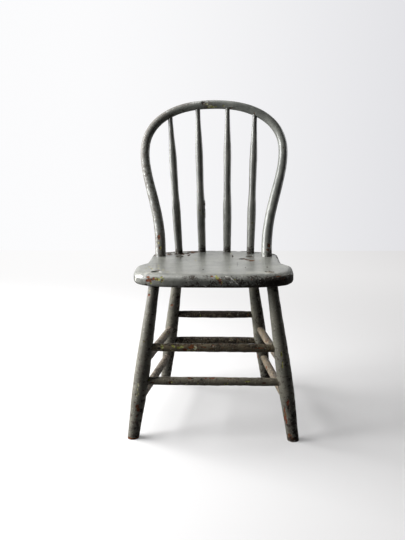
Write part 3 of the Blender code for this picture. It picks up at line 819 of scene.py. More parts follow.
def slot_box(name, centre, turn_matrix, low, high):
    mesh = bpy.data.meshes.new(name)
    shape = bmesh.new()
    low, high = Vector(low), Vector(high)
    bmesh.ops.create_cube(shape, size=1, matrix=Matrix.Translation(centre) @ turn_matrix
                          @ Matrix.Translation((low + high) / 2)
                          @ Matrix.Diagonal((*(high - low), 1)))
    shape.to_mesh(mesh)
    shape.free()
    box = bpy.data.objects.new(name, mesh)
    bpy.context.scene.collection.objects.link(box)
    return box


def aim(start, end):
    """A turn that puts local Z along the line, with local X near the world's X."""
    along = (Vector(end) - Vector(start)).normalized()
    guide = Vector((1, 0, 0)) if abs(along.x) < 0.9 else Vector((0, 1, 0))
    side = (guide - along * guide.dot(along)).normalized()
    return Matrix((side, along.cross(side), along)).transposed().to_4x4()


# %% [markdown]
# ### Chips on the legs
# Shoes and brooms knock the feet of a chair. The front left leg has a red and black chip a hand's
# breadth up and a bare foot, and the front right one has a long red streak down its inner side.
# Each row below is one chip, placed where it is on the real leg.

# %% Chips on the legs
LEG_CHIPS = {
    "front_left": [
        (-0.1245, -0.1280, 0.2866, 0.0022, 0.0060, 0.0022, 0.60),
        (-0.1230, -0.1270, 0.2950, 0.0014, 0.0060, 0.0014, 0.05),
        (-0.1484, -0.1584, 0.0660, 0.0030, 0.0060, 0.0050, 0.57),
        (-0.1462, -0.1573, 0.0610, 0.0034, 0.0060, 0.0030, 0.60),
        (-0.1420, -0.1550, 0.0600, 0.0026, 0.0040, 0.0026, 1.00),
        (-0.1440, -0.1561, 0.0570, 0.0040, 0.0040, 0.0020, 1.00),
        (-0.1530, -0.1611, 0.0360, 0.0014, 0.0040, 0.0016, 0.57),
        (-0.1500, -0.1600, 0.0250, 0.0012, 0.0040, 0.0012, 0.98),
        (-0.1500, -0.1590, 0.0480, 0.0012, 0.0040, 0.0014, 0.56),
        (-0.1464, -0.1552, 0.1114, 0.0016, 0.0040, 0.0040, 0.05),
        (-0.1475, -0.1560, 0.1020, 0.0016, 0.0040, 0.0030, 0.05),
        (-0.1455, -0.1550, 0.0940, 0.0014, 0.0040, 0.0020, 0.08),
        (-0.1530, -0.1590, 0.0760, 0.0014, 0.0040, 0.0016, 0.95),
        (-0.1470, -0.1570, 0.0700, 0.0012, 0.0040, 0.0016, 0.98),
        (-0.1500, -0.1600, 0.0900, 0.0016, 0.0030, 0.0030, 0.05),
        (-0.1558, -0.1645, 0.0016, 0.0140, 0.0120, 0.0026, 0.74)],
    "front_right": [
        (0.1469, -0.1587, 0.0800, 0.0022, 0.0040, 0.0070, 0.56),
        (0.1478, -0.1587, 0.0700, 0.0020, 0.0040, 0.0060, 0.98),
        (0.1410, -0.1540, 0.0620, 0.0018, 0.0050, 0.0060, 0.56),
        (0.1425, -0.1550, 0.0500, 0.0022, 0.0050, 0.0080, 0.57),
        (0.1450, -0.1565, 0.0400, 0.0014, 0.0050, 0.0050, 0.62),
        (0.1333, -0.1472, 0.1749, 0.0014, 0.0040, 0.0060, 0.28),
        (0.1354, -0.1501, 0.1535, 0.0014, 0.0040, 0.0050, 0.26),
        (0.1340, -0.1480, 0.1330, 0.0020, 0.0030, 0.0030, 0.20),
        (0.1509, -0.1621, 0.0120, 0.0036, 0.0060, 0.0040, 0.80),
        (0.1540, -0.1650, 0.0060, 0.0070, 0.0080, 0.0040, 0.90)],
    "back_left": [
        (-0.0994, 0.0812, 0.2118, 0.0030, 0.0040, 0.0030, 0.80)],
    "back_right": [
        (0.1013, 0.1205, 0.0772, 0.0030, 0.0040, 0.0060, 0.58),
        (0.0985, 0.1195, 0.1500, 0.0020, 0.0040, 0.0040, 0.60)],
}
print("leg chips:", sum(len(chips) for chips in LEG_CHIPS.values()))


# %% Turned, dirty legs with painted shade, each with a kerf and a mortise
def leg_rubbed(points, normals):
    """Thinner paint towards the foot."""
    return 0.30 + 0.16 * (1 - points[:, 2] / SEAT_UNDER)


def low_grime_and_shade(base, low, right):
    """More dirt towards the foot, painted shade on the right side, and darker just under the seat.
    """
    def rule(points, normals):
        height = points[:, 2] / SEAT_UNDER
        return (base + low * smoothstep(1 - height / 0.5)
                + right * smoothstep(normals[:, 0] * 1.3)
                + 0.25 * smoothstep((height - 0.93) / 0.05))
    return rule


LEG_GRIME_AND_SHADE = {"front_left": low_grime_and_shade(0.14, 0.14, 0.20), "front_right": low_grime_and_shade(0.18, 0.26, 0.22),
             "back_left": low_grime_and_shade(0.20, 0.10, 0.30), "back_right": low_grime_and_shade(0.30, 0.15, 0.30)}

for number, name in enumerate(LEGS):
    foot, top, crown = leg_ends(name)
    length = np.linalg.norm(top - foot)
    leg = turn(f"leg_{name}_turned", foot, top, leg_stations(length), leg_paint,
               around=64, step=0.0014, level=(0.0, crown), seed=11 + number)
    end_point = Vector(mix(foot, top, crown / SEAT_UNDER))
    carve(leg, slot_box("kerf", end_point, aim(foot, top),
                        (-KERF_BOX, -KERF_WIDTH / 2, -KERF_DEPTH),
                        (KERF_BOX, KERF_WIDTH / 2, KERF_BOX)))
    hole = turn("mortise", foot, top, leg_stations(length, GAP)[1:], leg_paint, around=64,
                step=0.003, level=(SEAT_UNDER - PAST_UNDER, SEAT_HEIGHT + PAST_TOP),
                seed=11 + number)
    carve(seat, hole)
    weather(leg, LEG_CHIPS[name], rubbed_and_painted_light=leg_rubbed, grime_and_shade=LEG_GRIME_AND_SHADE[name], scatter=0.10,
            seed=40 + number, dents=0.00045, lumps=0.011)
    settle(leg, f"leg_{name}")

# %% [markdown]
# ## Wedges
# A wedge is a thin slip of hard wood. It is thick at the top, thin below, and cut off with the
# tenon. The one in the front left leg is lost.

# %% Wedges
WEDGE_RINGS = 14
WEDGE_HALF_WIDTH = 0.0074
WEDGE_THIN = 0.00035            # half its thickness, below
WEDGE_THICK = 0.0010            # and at the top
wedge_wood = painted("wedge_wood", (0.10, 0.075, 0.055), (0.13, 0.08, 0.05), gloss=0.55)

for number, name in enumerate(("front_right", "back_left", "back_right")):
    foot, top, crown = leg_ends(name)
    end_point = Vector(mix(foot, top, crown / SEAT_UNDER))
    rings = []
    for share in np.linspace(0, 1, WEDGE_RINGS):
        half = mix(WEDGE_THIN, WEDGE_THICK, share)
        height = mix(-KERF_DEPTH, 0.0, share)
        rings.append([(-WEDGE_HALF_WIDTH, -half, height), (WEDGE_HALF_WIDTH, -half, height),
                      (WEDGE_HALF_WIDTH, half, height), (-WEDGE_HALF_WIDTH, half, height)])
    place_matrix = Matrix.Translation(end_point) @ aim(foot, top)
    corners = [place_matrix @ Vector(corner) for ring in rings for corner in ring]
    for corner in corners[-4:]:
        corner.z = crown
    faces = [(0, 3, 2, 1), tuple(range(len(corners) - 4, len(corners)))]
    for ring in range(WEDGE_RINGS - 1):
        for i in range(4):
            j = (i + 1) % 4
            a, b = 4 * ring, 4 * ring + 4
            faces.append((a + i, a + j, b + j, b + i))
    wedge = as_object(f"wedge_{name}_slip", corners, faces, wedge_wood)
    weather(wedge, rubbed_and_painted_light=0.5, seed=70 + number)
    settle(wedge, f"wedge_{name}")

# %% [markdown]
# ## Rungs
# The rungs are turned too, fattest in the middle. Feet have rubbed them for years, so they show
# more brown than the rest, and dirt sits on their tops and where they enter the legs. The front
# upper one has the chair's brightest spots, in yellow-green, orange and cream.

# %% A rung and its dirt
RUNG_HEIGHTS = {"front": (0.1814, 0.1147), "back": (0.1850, 0.1159), "side": (0.1500, 0.0743)}
RUNG_RADIUS = 0.0084
RUNG_QUARTER_RADIUS = 0.0083
RUNG_END_RADIUS = 0.0076
PAST_AXIS = 0.0030              # how far a rung's end goes past the leg's axis
RUNG_END = 0.016                # the length of its straight end
RUNG_SWELL = 0.16               # the share of the rest in which it swells to its second radius
DIRT_AT_END = 0.012


def leg_at(name, height):
    foot, top, _ = leg_ends(name)
    return mix(foot, top, height / SEAT_UNDER)


def make_rung(name, start, end, material, chips, rubbed_and_painted_light, grime_and_shade, seed):
    """From leg axis to leg axis, with dirt on top and near both legs."""
    along = (end - start) / np.linalg.norm(end - start)
    head, tail = start - along * PAST_AXIS, end + along * PAST_AXIS
    length = np.linalg.norm(tail - head)
    quarter_way = RUNG_END + RUNG_SWELL * (length - 2 * RUNG_END)
    stations = [(0, RUNG_END_RADIUS), (RUNG_END, RUNG_END_RADIUS),
                (quarter_way, RUNG_QUARTER_RADIUS), (length / 2, RUNG_RADIUS),
                (length - quarter_way, RUNG_QUARTER_RADIUS),
                (length - RUNG_END, RUNG_END_RADIUS), (length, RUNG_END_RADIUS)]
    rung = turn(f"{name}_turned", head, tail, stations, material, around=40, step=0.0014,
                seed=seed)

    def rule(points, normals):
        to_end = np.minimum(np.linalg.norm(points - start, axis=1),
                            np.linalg.norm(points - end, axis=1))
        return (grime_and_shade + 0.18 * smoothstep(normals[:, 2])
                + 0.35 * smoothstep(1.6 - to_end / DIRT_AT_END))

    weather(rung, chips, rubbed_and_painted_light=rubbed_and_painted_light, grime_and_shade=rule, scatter=0.22, seed=seed + 5, dents=0.00055,
            lumps=0.009)
    return settle(rung, name)


print("a rung meets the front left leg at", leg_at("front_left", RUNG_HEIGHTS["front"][0]).round(4))


# %% Each rung's paint, wear, dirt and chips
RUNG_LOOKS = {
    "rung_front_upper": (olive_rung_paint, 0.40, 0.30, [
        (-0.0420, -0.1372, 0.1850, 0.0064, 0.0070, 0.0036, 0.70),
        (-0.0350, -0.1372, 0.1830, 0.0040, 0.0060, 0.0040, 0.04),
        (-0.0480, -0.1372, 0.1790, 0.0040, 0.0060, 0.0024, 0.10),
        (-0.0540, -0.1372, 0.1800, 0.0040, 0.0060, 0.0024, 0.70),
        (-0.0600, -0.1372, 0.1850, 0.0044, 0.0060, 0.0020, 0.26),
        (-0.0690, -0.1372, 0.1820, 0.0040, 0.0060, 0.0034, 0.30),
        (-0.0780, -0.1372, 0.1860, 0.0030, 0.0060, 0.0020, 0.24),
        (-0.1000, -0.1380, 0.1850, 0.0026, 0.0060, 0.0040, 0.26),
        (-0.0790, -0.1390, 0.1765, 0.0030, 0.0060, 0.0014, 0.10),
        (-0.0370, -0.1390, 0.1770, 0.0026, 0.0060, 0.0014, 0.26),
        (0.0020, -0.1390, 0.1768, 0.0020, 0.0060, 0.0014, 0.28),
        (-0.0200, -0.1390, 0.1850, 0.0060, 0.0060, 0.0010, 0.84),
        (0.0450, -0.1390, 0.1800, 0.0040, 0.0060, 0.0012, 0.90),
        (0.0900, -0.1390, 0.1840, 0.0080, 0.0060, 0.0010, 0.80)]),
    "rung_front_lower": (rung_paint, 0.34, 0.24, [
        (-0.0453, -0.1469, 0.1225, 0.0080, 0.0050, 0.0010, 0.80),
        (-0.0053, -0.1469, 0.1228, 0.0160, 0.0050, 0.0010, 0.60),
        (0.0350, -0.1469, 0.1226, 0.0120, 0.0050, 0.0010, 0.80),
        (0.0240, -0.1485, 0.1110, 0.0020, 0.0050, 0.0012, 0.26),
        (-0.0290, -0.1485, 0.1130, 0.0020, 0.0050, 0.0014, 0.28),
        (-0.0520, -0.1500, 0.1105, 0.0026, 0.0050, 0.0014, 0.10),
        (-0.0810, -0.1500, 0.1150, 0.0020, 0.0050, 0.0012, 0.32),
        (-0.1180, -0.1500, 0.1140, 0.0060, 0.0050, 0.0010, 0.92),
        (0.0290, -0.1500, 0.1135, 0.0014, 0.0050, 0.0014, 0.08),
        (0.0680, -0.1500, 0.1180, 0.0060, 0.0050, 0.0010, 0.30),
        (0.1030, -0.1500, 0.1150, 0.0060, 0.0050, 0.0016, 0.82)]),
    "rung_back_upper": (olive_rung_paint, 0.30, 0.62, []),
    "rung_back_lower": (olive_rung_paint, 0.35, 0.50, []),
    "rung_left_upper": (cream_rung_paint, 0.30, 0.26, []),
    "rung_left_lower": (cream_rung_paint, 0.20, 0.30, []),
    "rung_right_upper": (cream_rung_paint, 0.50, 0.10, [
        (0.1102, 0.0659, 0.1566, 0.0024, 0.0060, 0.0024, 0.30),
        (0.1110, 0.0400, 0.1560, 0.0024, 0.0040, 0.0024, 0.66)]),
    "rung_right_lower": (cream_rung_paint, 0.50, 0.14, [
        (0.1185, 0.0409, 0.0767, 0.0030, 0.0050, 0.0024, 0.60)]),
}
print("rungs:", len(RUNG_LOOKS))

# %% Rungs between the legs
for row, side_name in enumerate(("front", "back", "left", "right")):
    heights = RUNG_HEIGHTS[side_name if side_name in RUNG_HEIGHTS else "side"]
    for rank, (level_name, height) in enumerate(zip(("upper", "lower"), heights)):
        if side_name in ("front", "back"):
            ends = leg_at(f"{side_name}_left", height), leg_at(f"{side_name}_right", height)
        else:
            ends = leg_at(f"front_{side_name}", height), leg_at(f"back_{side_name}", height)
        label = f"rung_{side_name}_{level_name}"
        paint, worn, dirt, chips = RUNG_LOOKS[label]
        make_rung(label, *ends, paint, chips, worn, dirt, 100 + 10 * row + rank)

# %% [markdown]
# ## The hoop
# A hoop starts as a straight stick, is steamed and is bent round a form. So its middle line lies
# in one plane, which leans back here, and its thickness falls a little towards the top. The
# sweep below carries a circle along that line.

# %% The hoop's line
RAKE = math.radians(15)
HOOP_FOOT_Y = 0.0776 + Y_MOVE
HOOP_OFFSET = -0.0033
HOOP_FOOT_HALF_WIDTH = 0.1188
HOOP_HALF_WIDTH = 0.1563
HOOP_SPRING = 0.235
HOOP_ARCH = 0.111
HOOP_FULLNESS = 2.27
HOOP_WAIST = 1.25
HOOP_FOOT_RADIUS = 0.0116
HOOP_TOP_RADIUS = 0.0097
HOOP_SOCKET = 0.017
HOOP_POINTS = 760


def on_hoop_plane(sideways, up):
    """A place on the plane that leans back, as a point in the frame."""
    return np.stack([sideways + HOOP_OFFSET, HOOP_FOOT_Y + up * math.sin(RAKE),
                     SEAT_HEIGHT + up * math.cos(RAKE)], -1)


def hoop_line():
    share = np.linspace(0, 1, 160)
    side = mix(HOOP_FOOT_HALF_WIDTH, HOOP_HALF_WIDTH, smoothstep(share ** HOOP_WAIST))
    arch_x, arch_up = quarter(HOOP_HALF_WIDTH, HOOP_ARCH, HOOP_FULLNESS, 300)
    x = np.concatenate([[HOOP_FOOT_HALF_WIDTH], side, arch_x[1:]])
    up = np.concatenate([[-HOOP_SOCKET], share * HOOP_SPRING, HOOP_SPRING + arch_up[1:]])
    x, up = np.concatenate([x, -x[::-1]]), np.concatenate([up, up[::-1]])
    run = np.concatenate([[0], np.cumsum(np.hypot(np.diff(x), np.diff(up)))])
    keep = np.concatenate([[True], np.diff(run) > 0])
    even = np.linspace(0, run[-1], HOOP_POINTS)
    return np.interp(even, run[keep], x[keep]), np.interp(even, run[keep], up[keep])


print("half width and height of the line:", [round(float(side.max()), 4) for side in hoop_line()])


# %% A round rod along the line
HOOP_WANDER = 0.0003
HOOP_WANDER_SIZE = 0.04


def make_hoop(around=60):
    x, up = hoop_line()
    centre = on_hoop_plane(x, up)
    along = np.gradient(centre, axis=0)
    along /= np.linalg.norm(along, axis=1)[:, None]
    square = np.array([0, math.cos(RAKE), -math.sin(RAKE)])
    inward = np.cross(along, square)
    radius = mix(HOOP_FOOT_RADIUS, HOOP_TOP_RADIUS, smoothstep(up / (HOOP_SPRING + HOOP_ARCH)))
    angle = np.linspace(0, 2 * math.pi, around, endpoint=False)
    spin = (np.cos(angle)[None, :, None] * inward[:, None]
            + np.sin(angle)[None, :, None] * square[None, None])
    points = centre[:, None] + radius[:, None, None] * spin
    points += (HOOP_WANDER * rough_noise(points, HOOP_WANDER_SIZE, 5, 2))[..., None] * spin
    vertices = np.concatenate([points.reshape(-1, 3), centre[:1], centre[-1:]])
    return as_object("bent_hoop", vertices, tube_faces(len(x) - 1, around, flip=True), hoop_paint)


hoop = make_hoop()
print("hoop points:", len(hoop.data.vertices))

# %% [markdown]
# ### Wear on the hoop
# The hoop has a notch and a scar at its top, where many coats have broken away, and small red and
# yellow-green chips at its feet. The left half is duller than the right, because hands take hold
# of it there. Its outer side on the upper left, which faces the window, is painted darker, and so
# are the right half's right side and the faces that look down: painted shade. The hoop gets its
# wear later, when the seat's sockets are cut.

# %% The hoop's chips and bumps
HOOP_CHIPS = [
    (-0.0279, 0.1464, 0.6661, 0.0016, 0.0080, 0.0050, 0.98),
    (-0.0250, 0.1464, 0.6690, 0.0030, 0.0080, 0.0012, 0.95),
    (-0.0190, 0.1465, 0.6640, 0.0034, 0.0080, 0.0026, 0.05),
    (-0.0130, 0.1465, 0.6600, 0.0050, 0.0080, 0.0034, 0.05),
    (-0.0090, 0.1465, 0.6580, 0.0030, 0.0080, 0.0024, 0.28),
    (-0.0160, 0.1465, 0.6570, 0.0026, 0.0080, 0.0020, 0.26),
    (-0.0040, 0.1482, 0.6583, 0.0024, 0.0060, 0.0020, 0.08),
    (0.0010, 0.1482, 0.6600, 0.0020, 0.0060, 0.0014, 0.24),
    (0.0187, 0.1464, 0.6606, 0.0030, 0.0060, 0.0018, 0.08),
    (0.0350, 0.1480, 0.6560, 0.0070, 0.0060, 0.0016, 0.97),
    (0.0885, 0.1432, 0.6430, 0.0012, 0.0040, 0.0012, 0.70),
    (-0.1247, 0.0659, 0.3725, 0.0026, 0.0040, 0.0056, 0.74),
    (-0.1222, 0.0594, 0.3487, 0.0022, 0.0040, 0.0030, 0.36),
    (-0.1262, 0.0620, 0.3600, 0.0014, 0.0040, 0.0020, 0.10),
    (0.1195, 0.0615, 0.3543, 0.0030, 0.0040, 0.0056, 0.78),
    (0.1180, 0.0600, 0.3450, 0.0040, 0.0040, 0.0030, 0.80),
    (0.1600, 0.1100, 0.5200, 0.0014, 0.0060, 0.0016, 0.58),
]
HOOP_BUMPS = [(-0.0330, 0.1440, 0.6700, 0.0040, 0.0090, 0.0040, 0.0009),
              (0.0380, 0.1480, 0.6560, 0.0060, 0.0060, 0.0040, 0.0006)]
print("hoop chips:", len(HOOP_CHIPS))

# %% Where the hoop is rubbed and dirty, and its painted shade
SCAR = (-0.012, 0.660)          # its place across and up


def from_scar(points, size):
    """The distance from the scar, which is wider than high, in units of its size."""
    return np.hypot(points[:, 0] - SCAR[0], (points[:, 2] - SCAR[1]) * 1.5) / size


def hoop_rubbed_and_shade(points, normals):
    """Thin paint round the scar, near the feet and on the left half; painted shade on the upper
    left's outer side, which faces the window.
    """
    scar = from_scar(points, 0.020)
    left_half = smoothstep(-points[:, 0] / 0.08 - 0.1)
    near_feet = smoothstep((0.40 - points[:, 2]) / 0.05)
    outward = smoothstep((normals[:, 2] - normals[:, 0]) / 1.3 - 0.1)
    upper_left_shade = outward * smoothstep((points[:, 2] - 0.44) / 0.10) * smoothstep(-points[:, 0] / 0.04)
    return (0.16 + 0.31 * left_half + 0.42 * smoothstep(1.4 - scar) + 0.14 * near_feet
            + 0.42 * upper_left_shade)


def hoop_grime_and_shade(points, normals):
    foot = smoothstep((0.352 - points[:, 2]) / 0.02)
    # Painted shade: darker on the right half's right-facing side and on faces that look down.
    right = smoothstep(normals[:, 0] * 1.5 - 0.2) * (points[:, 0] > 0)
    return (0.05 + 0.38 * foot + 0.22 * smoothstep(1.4 - from_scar(points, 0.016))
            + 0.10 * smoothstep(-normals[:, 2]) + 0.28 * right)

# %% [markdown]
# ## Spindles
# The spindles stand in the seat in a shallow curve and lean back to meet the hoop. Each swells
# low down, waists and thins to a neck where it enters the hoop. The inner left one has two lumps
# on its side, with black places beside them.

# %% The spindles' places, sizes and chips
SPINDLES = {
    # foot x and y, and x at the hoop
    "outer_left": (-0.0832, 0.1150, -0.1036),
    "inner_left": (-0.0306, 0.1350, -0.0405),
    "inner_right": (0.0275, 0.1350, 0.0275),
    "outer_right": (0.0808, 0.1150, 0.0897),
}
SPINDLE_RADII = ((0.0, 0.0087), (0.30, 0.0098), (0.48, 0.0082), (0.67, 0.0088), (0.98, 0.0054))
SPINDLE_SOCKET = 0.015
INTO_HOOP = 0.003               # how far an end goes past the hoop's middle line
SPINDLE_CHIPS = {
    "outer_left": [
        (-0.0930, 0.1210, 0.4150, 0.0018, 0.0040, 0.0020, 0.24),
        (-0.0860, 0.1080, 0.3720, 0.0014, 0.0040, 0.0014, 0.08),
        (-0.0905, 0.1130, 0.4000, 0.0014, 0.0040, 0.0016, 0.22)],
    "inner_left": [
        (-0.0250, 0.1307, 0.4403, 0.0022, 0.0050, 0.0030, 0.99),
        (-0.0250, 0.1307, 0.4300, 0.0020, 0.0050, 0.0060, 0.97),
        (-0.0270, 0.1257, 0.4180, 0.0012, 0.0040, 0.0012, 0.26),
        (-0.0265, 0.1257, 0.3850, 0.0012, 0.0040, 0.0014, 0.10),
        (-0.0275, 0.1200, 0.3550, 0.0016, 0.0040, 0.0016, 0.10)],
}
SPINDLE_BUMPS = {
    "inner_left": [
        (-0.0235, 0.1300, 0.4420, 0.0040, 0.0080, 0.0070, 0.0012),
        (-0.0225, 0.1290, 0.4200, 0.0040, 0.0080, 0.0120, 0.0008)],
}
print("spindles:", len(SPINDLES))

# %% Turned spindles, each with a socket in the seat
CUTTER_ABOVE = 0.012            # how far a cutter stands out of the seat


def spindle_grime(points, normals):
    foot = smoothstep((0.354 - points[:, 2]) / 0.022)
    return 0.08 + 0.42 * foot + 0.14 * smoothstep((0.46 - points[:, 2]) / 0.10)


def seat_top_at(x, y):
    """The dished top's height."""
    share = math.hypot(x, y) / SADDLE_REACH
    return SEAT_HEIGHT - SADDLE_DEPTH * (1 - min(share, 1) ** 2) ** 2


for number, (name, (foot_x, foot_y, head_x)) in enumerate(SPINDLES.items()):
    foot = np.array([foot_x, foot_y + Y_MOVE, seat_top_at(foot_x, foot_y)])
    sideways = head_x - HOOP_OFFSET
    share = min(abs(sideways) / HOOP_HALF_WIDTH, 1) ** HOOP_FULLNESS
    up = HOOP_SPRING + HOOP_ARCH * (1 - share) ** (1 / HOOP_FULLNESS)
    head = on_hoop_plane(np.array(sideways), np.array(up))
    along = (head - foot) / np.linalg.norm(head - foot)
    start, end = foot - along * SPINDLE_SOCKET, head + along * INTO_HOOP
    shown = np.linalg.norm(head - foot) - HOOP_TOP_RADIUS
    stations = [(0, SPINDLE_RADII[0][1])]
    stations += [(SPINDLE_SOCKET + at * shown, radius) for at, radius in SPINDLE_RADII]
    stations.append((np.linalg.norm(end - start), SPINDLE_RADII[-1][1]))
    spindle = turn(f"spindle_{name}_turned", start, end, stations, spindle_paint,
                   around=44, step=0.0013, seed=200 + number)
    weather(spindle, SPINDLE_CHIPS.get(name, ()), rubbed_and_painted_light=0.24, grime_and_shade=spindle_grime, scatter=0.07,
            seed=210 + number, dents=0.00030, lumps=0.012, bumps=SPINDLE_BUMPS.get(name, ()))
    settle(spindle, f"spindle_{name}")
    wide = SPINDLE_RADII[0][1] + GAP
    hole = turn("socket", foot - along * (SPINDLE_SOCKET + GAP), foot + along * CUTTER_ABOVE,
                [(0, wide), (SPINDLE_SOCKET + CUTTER_ABOVE, wide)],
                spindle_paint, around=44, step=0.004, seed=200 + number)
    carve(seat, hole)

# %% [markdown]
# ### The hoop's feet
# The hoop's feet stand in sockets of the seat, just as the spindles do. The sockets are cut, and
# then the hoop gets its wear.

# %% The hoop's sockets and wear
HOOP_GAP = 0.0004

for side in (-1, 1):
    low = on_hoop_plane(np.array(side * HOOP_FOOT_HALF_WIDTH), np.array(-HOOP_SOCKET - GAP))
    high = on_hoop_plane(np.array(side * HOOP_FOOT_HALF_WIDTH), np.array(CUTTER_ABOVE))
    reach, wide = np.linalg.norm(high - low), HOOP_FOOT_RADIUS + HOOP_GAP
    hole = turn("socket", low, high, [(0, wide), (reach, wide)], hoop_paint, around=60,
                step=0.004, seed=5)
    carve(seat, hole)
weather(hoop, HOOP_CHIPS, rubbed_and_painted_light=hoop_rubbed_and_shade, grime_and_shade=hoop_grime_and_shade, scatter=0.03, seed=230,
        dents=0.00022, lumps=0.02, bumps=HOOP_BUMPS)
settle(hoop, "hoop")

# %% [markdown]
# ## Wear on the seat
# The seat's front left corner is chipped through every coat, and there are scratches, a crack and
# small chips elsewhere. Each is placed where it is on the real seat. A coat a little below zero
# shows cream nearly everywhere, because the paint's noise seldom lifts it past the cream step.

# %% Chips on the seat
SEAT_CHIPS = [
    (-0.1241, -0.1347, 0.3229, 0.0030, 0.0050, 0.0024, 0.66),
    (-0.1193, -0.1383, 0.3200, 0.0060, 0.0050, 0.0016, 0.92),
    (-0.1220, -0.1370, 0.3180, 0.0060, 0.0050, 0.0018, 0.66),
    (-0.1137, -0.1394, 0.3218, 0.0024, 0.0050, 0.0022, 0.56),
    (-0.1150, -0.1394, 0.3190, 0.0024, 0.0050, 0.0020, 0.98),
    (-0.1268, -0.1357, 0.3150, 0.0018, 0.0050, 0.0026, 0.58),
    (-0.1071, -0.1416, 0.3201, 0.0034, 0.0050, 0.0020, 0.44),
    (-0.1075, -0.1416, 0.3225, 0.0020, 0.0050, 0.0014, 0.30),
    (-0.1024, -0.1427, 0.3204, 0.0022, 0.0050, 0.0020, 0.30),
    (-0.0979, -0.1405, 0.3250, 0.0020, 0.0050, 0.0020, 0.28),
    (-0.0959, -0.1442, 0.3192, 0.0022, 0.0050, 0.0020, 0.57),
    (-0.0940, -0.1442, 0.3215, 0.0020, 0.0050, 0.0018, 0.28),
    (-0.0930, -0.1450, 0.3153, 0.0020, 0.0050, 0.0026, 0.30),
    (-0.0975, -0.1448, 0.3170, 0.0016, 0.0050, 0.0018, 0.28),
    (-0.1289, -0.1334, 0.3082, 0.0026, 0.0050, 0.0024, 0.96),
    (-0.1190, -0.1383, 0.3120, 0.0014, 0.0050, 0.0014, 0.30),
    (-0.1026, 0.0858, 0.3297, 0.0060, 0.0090, 0.0030, 0.86),
    (-0.0880, 0.0930, 0.3297, 0.0060, 0.0070, 0.0030, 0.90),
    (-0.0729, 0.0962, 0.3295, 0.0050, 0.0120, 0.0030, 0.86),
    (-0.0507, 0.1139, 0.3298, 0.0090, 0.0100, 0.0030, 0.86),
    (-0.0640, 0.1050, 0.3298, 0.0050, 0.0090, 0.0030, 0.94),
    (-0.0589, 0.0818, 0.3290, 0.0030, 0.0100, 0.0030, 0.90),
    (-0.0005, -0.1421, 0.3268, 0.0024, 0.0040, 0.0014, 0.60),
    (0.0060, -0.1411, 0.3274, 0.0028, 0.0050, 0.0018, 0.24),
    (0.0098, -0.1455, 0.3246, 0.0030, 0.0050, 0.0020, 0.30),
    (0.0116, -0.1470, 0.3226, 0.0030, 0.0050, 0.0022, 0.92),
    (0.0139, -0.1487, 0.3201, 0.0028, 0.0050, 0.0022, 0.44),
    (0.0150, -0.1487, 0.3180, 0.0020, 0.0050, 0.0020, 0.94),
    (0.0168, -0.1491, 0.3155, 0.0024, 0.0050, 0.0028, 0.36),
    (0.0185, -0.1491, 0.3165, 0.0014, 0.0050, 0.0020, 0.28),
    (0.0399, 0.0725, 0.3286, 0.0018, 0.0110, 0.0030, 0.94),
    (0.0620, 0.0400, 0.3280, 0.0080, 0.0060, 0.0030, 0.94),
    (0.0720, 0.0290, 0.3280, 0.0050, 0.0060, 0.0030, 0.84),
    (0.0797, 0.0170, 0.3285, 0.0060, 0.0080, 0.0030, 0.86),
    (0.0736, -0.1459, 0.3221, 0.0020, 0.0040, 0.0014, 0.30),
    (0.0420, -0.1478, 0.3220, 0.0014, 0.0040, 0.0012, 0.28),
    (0.1245, -0.1300, 0.3250, 0.0060, 0.0050, 0.0012, 0.80),
    (0.1330, -0.1290, 0.3210, 0.0070, 0.0050, 0.0030, 0.90),
    (0.1399, 0.0507, 0.3277, 0.0040, 0.0120, 0.0040, 0.97),
    (0.1093, -0.0598, 0.3293, 0.0020, 0.0060, 0.0030, 0.96),
    (0.1038, -0.1089, 0.3293, 0.0018, 0.0060, 0.0030, 0.96),
    (0.1105, -0.1051, 0.3292, 0.0018, 0.0050, 0.0030, 0.96),
    (-0.1094, -0.0990, 0.3280, 0.0050, 0.0030, 0.0030, 0.97),
    (-0.1305, -0.0660, 0.3298, 0.0024, 0.0050, 0.0030, -0.15),
    (-0.1230, -0.0820, 0.3298, 0.0018, 0.0070, 0.0030, -0.20),
    (-0.1110, -0.0740, 0.3296, 0.0022, 0.0060, 0.0030, -0.15),
    (-0.0990, -0.0970, 0.3295, 0.0020, 0.0060, 0.0030, -0.20),
    (-0.1150, -0.0430, 0.3296, 0.0014, 0.0050, 0.0030, -0.15),
    (-0.1350, -0.0850, 0.3297, 0.0016, 0.0040, 0.0030, -0.20),
    (-0.0880, -0.1150, 0.3294, 0.0024, 0.0030, 0.0030, -0.15),
    (-0.0410, 0.0260, 0.3275, 0.0014, 0.0050, 0.0030, -0.15),
    (0.0990, 0.0160, 0.3292, 0.0014, 0.0050, 0.0030, -0.15),
    (0.0358, 0.0980, 0.3293, 0.0022, 0.0030, 0.0030, -0.20),
    (0.0820, 0.0675, 0.3278, 0.0036, 0.0024, 0.0030, -0.15),
    (0.1166, -0.1180, 0.3292, 0.0024, 0.0030, 0.0030, -0.20),
    (0.0120, -0.1220, 0.3288, 0.0014, 0.0040, 0.0030, -0.15),
    (0.0330, -0.0500, 0.3275, 0.0010, 0.0060, 0.0030, -0.10),
    (-0.0200, -0.0850, 0.3280, 0.0012, 0.0040, 0.0030, 0.98),
    (0.0650, -0.0600, 0.3283, 0.0010, 0.0050, 0.0030, 0.98),
]
print("seat chips:", len(SEAT_CHIPS))

# %% [markdown]
# ### Gouges
# The top is dented along its rear edge and on the right. A gouge is a blob with a height below
# zero, and its colour comes from the dirt.

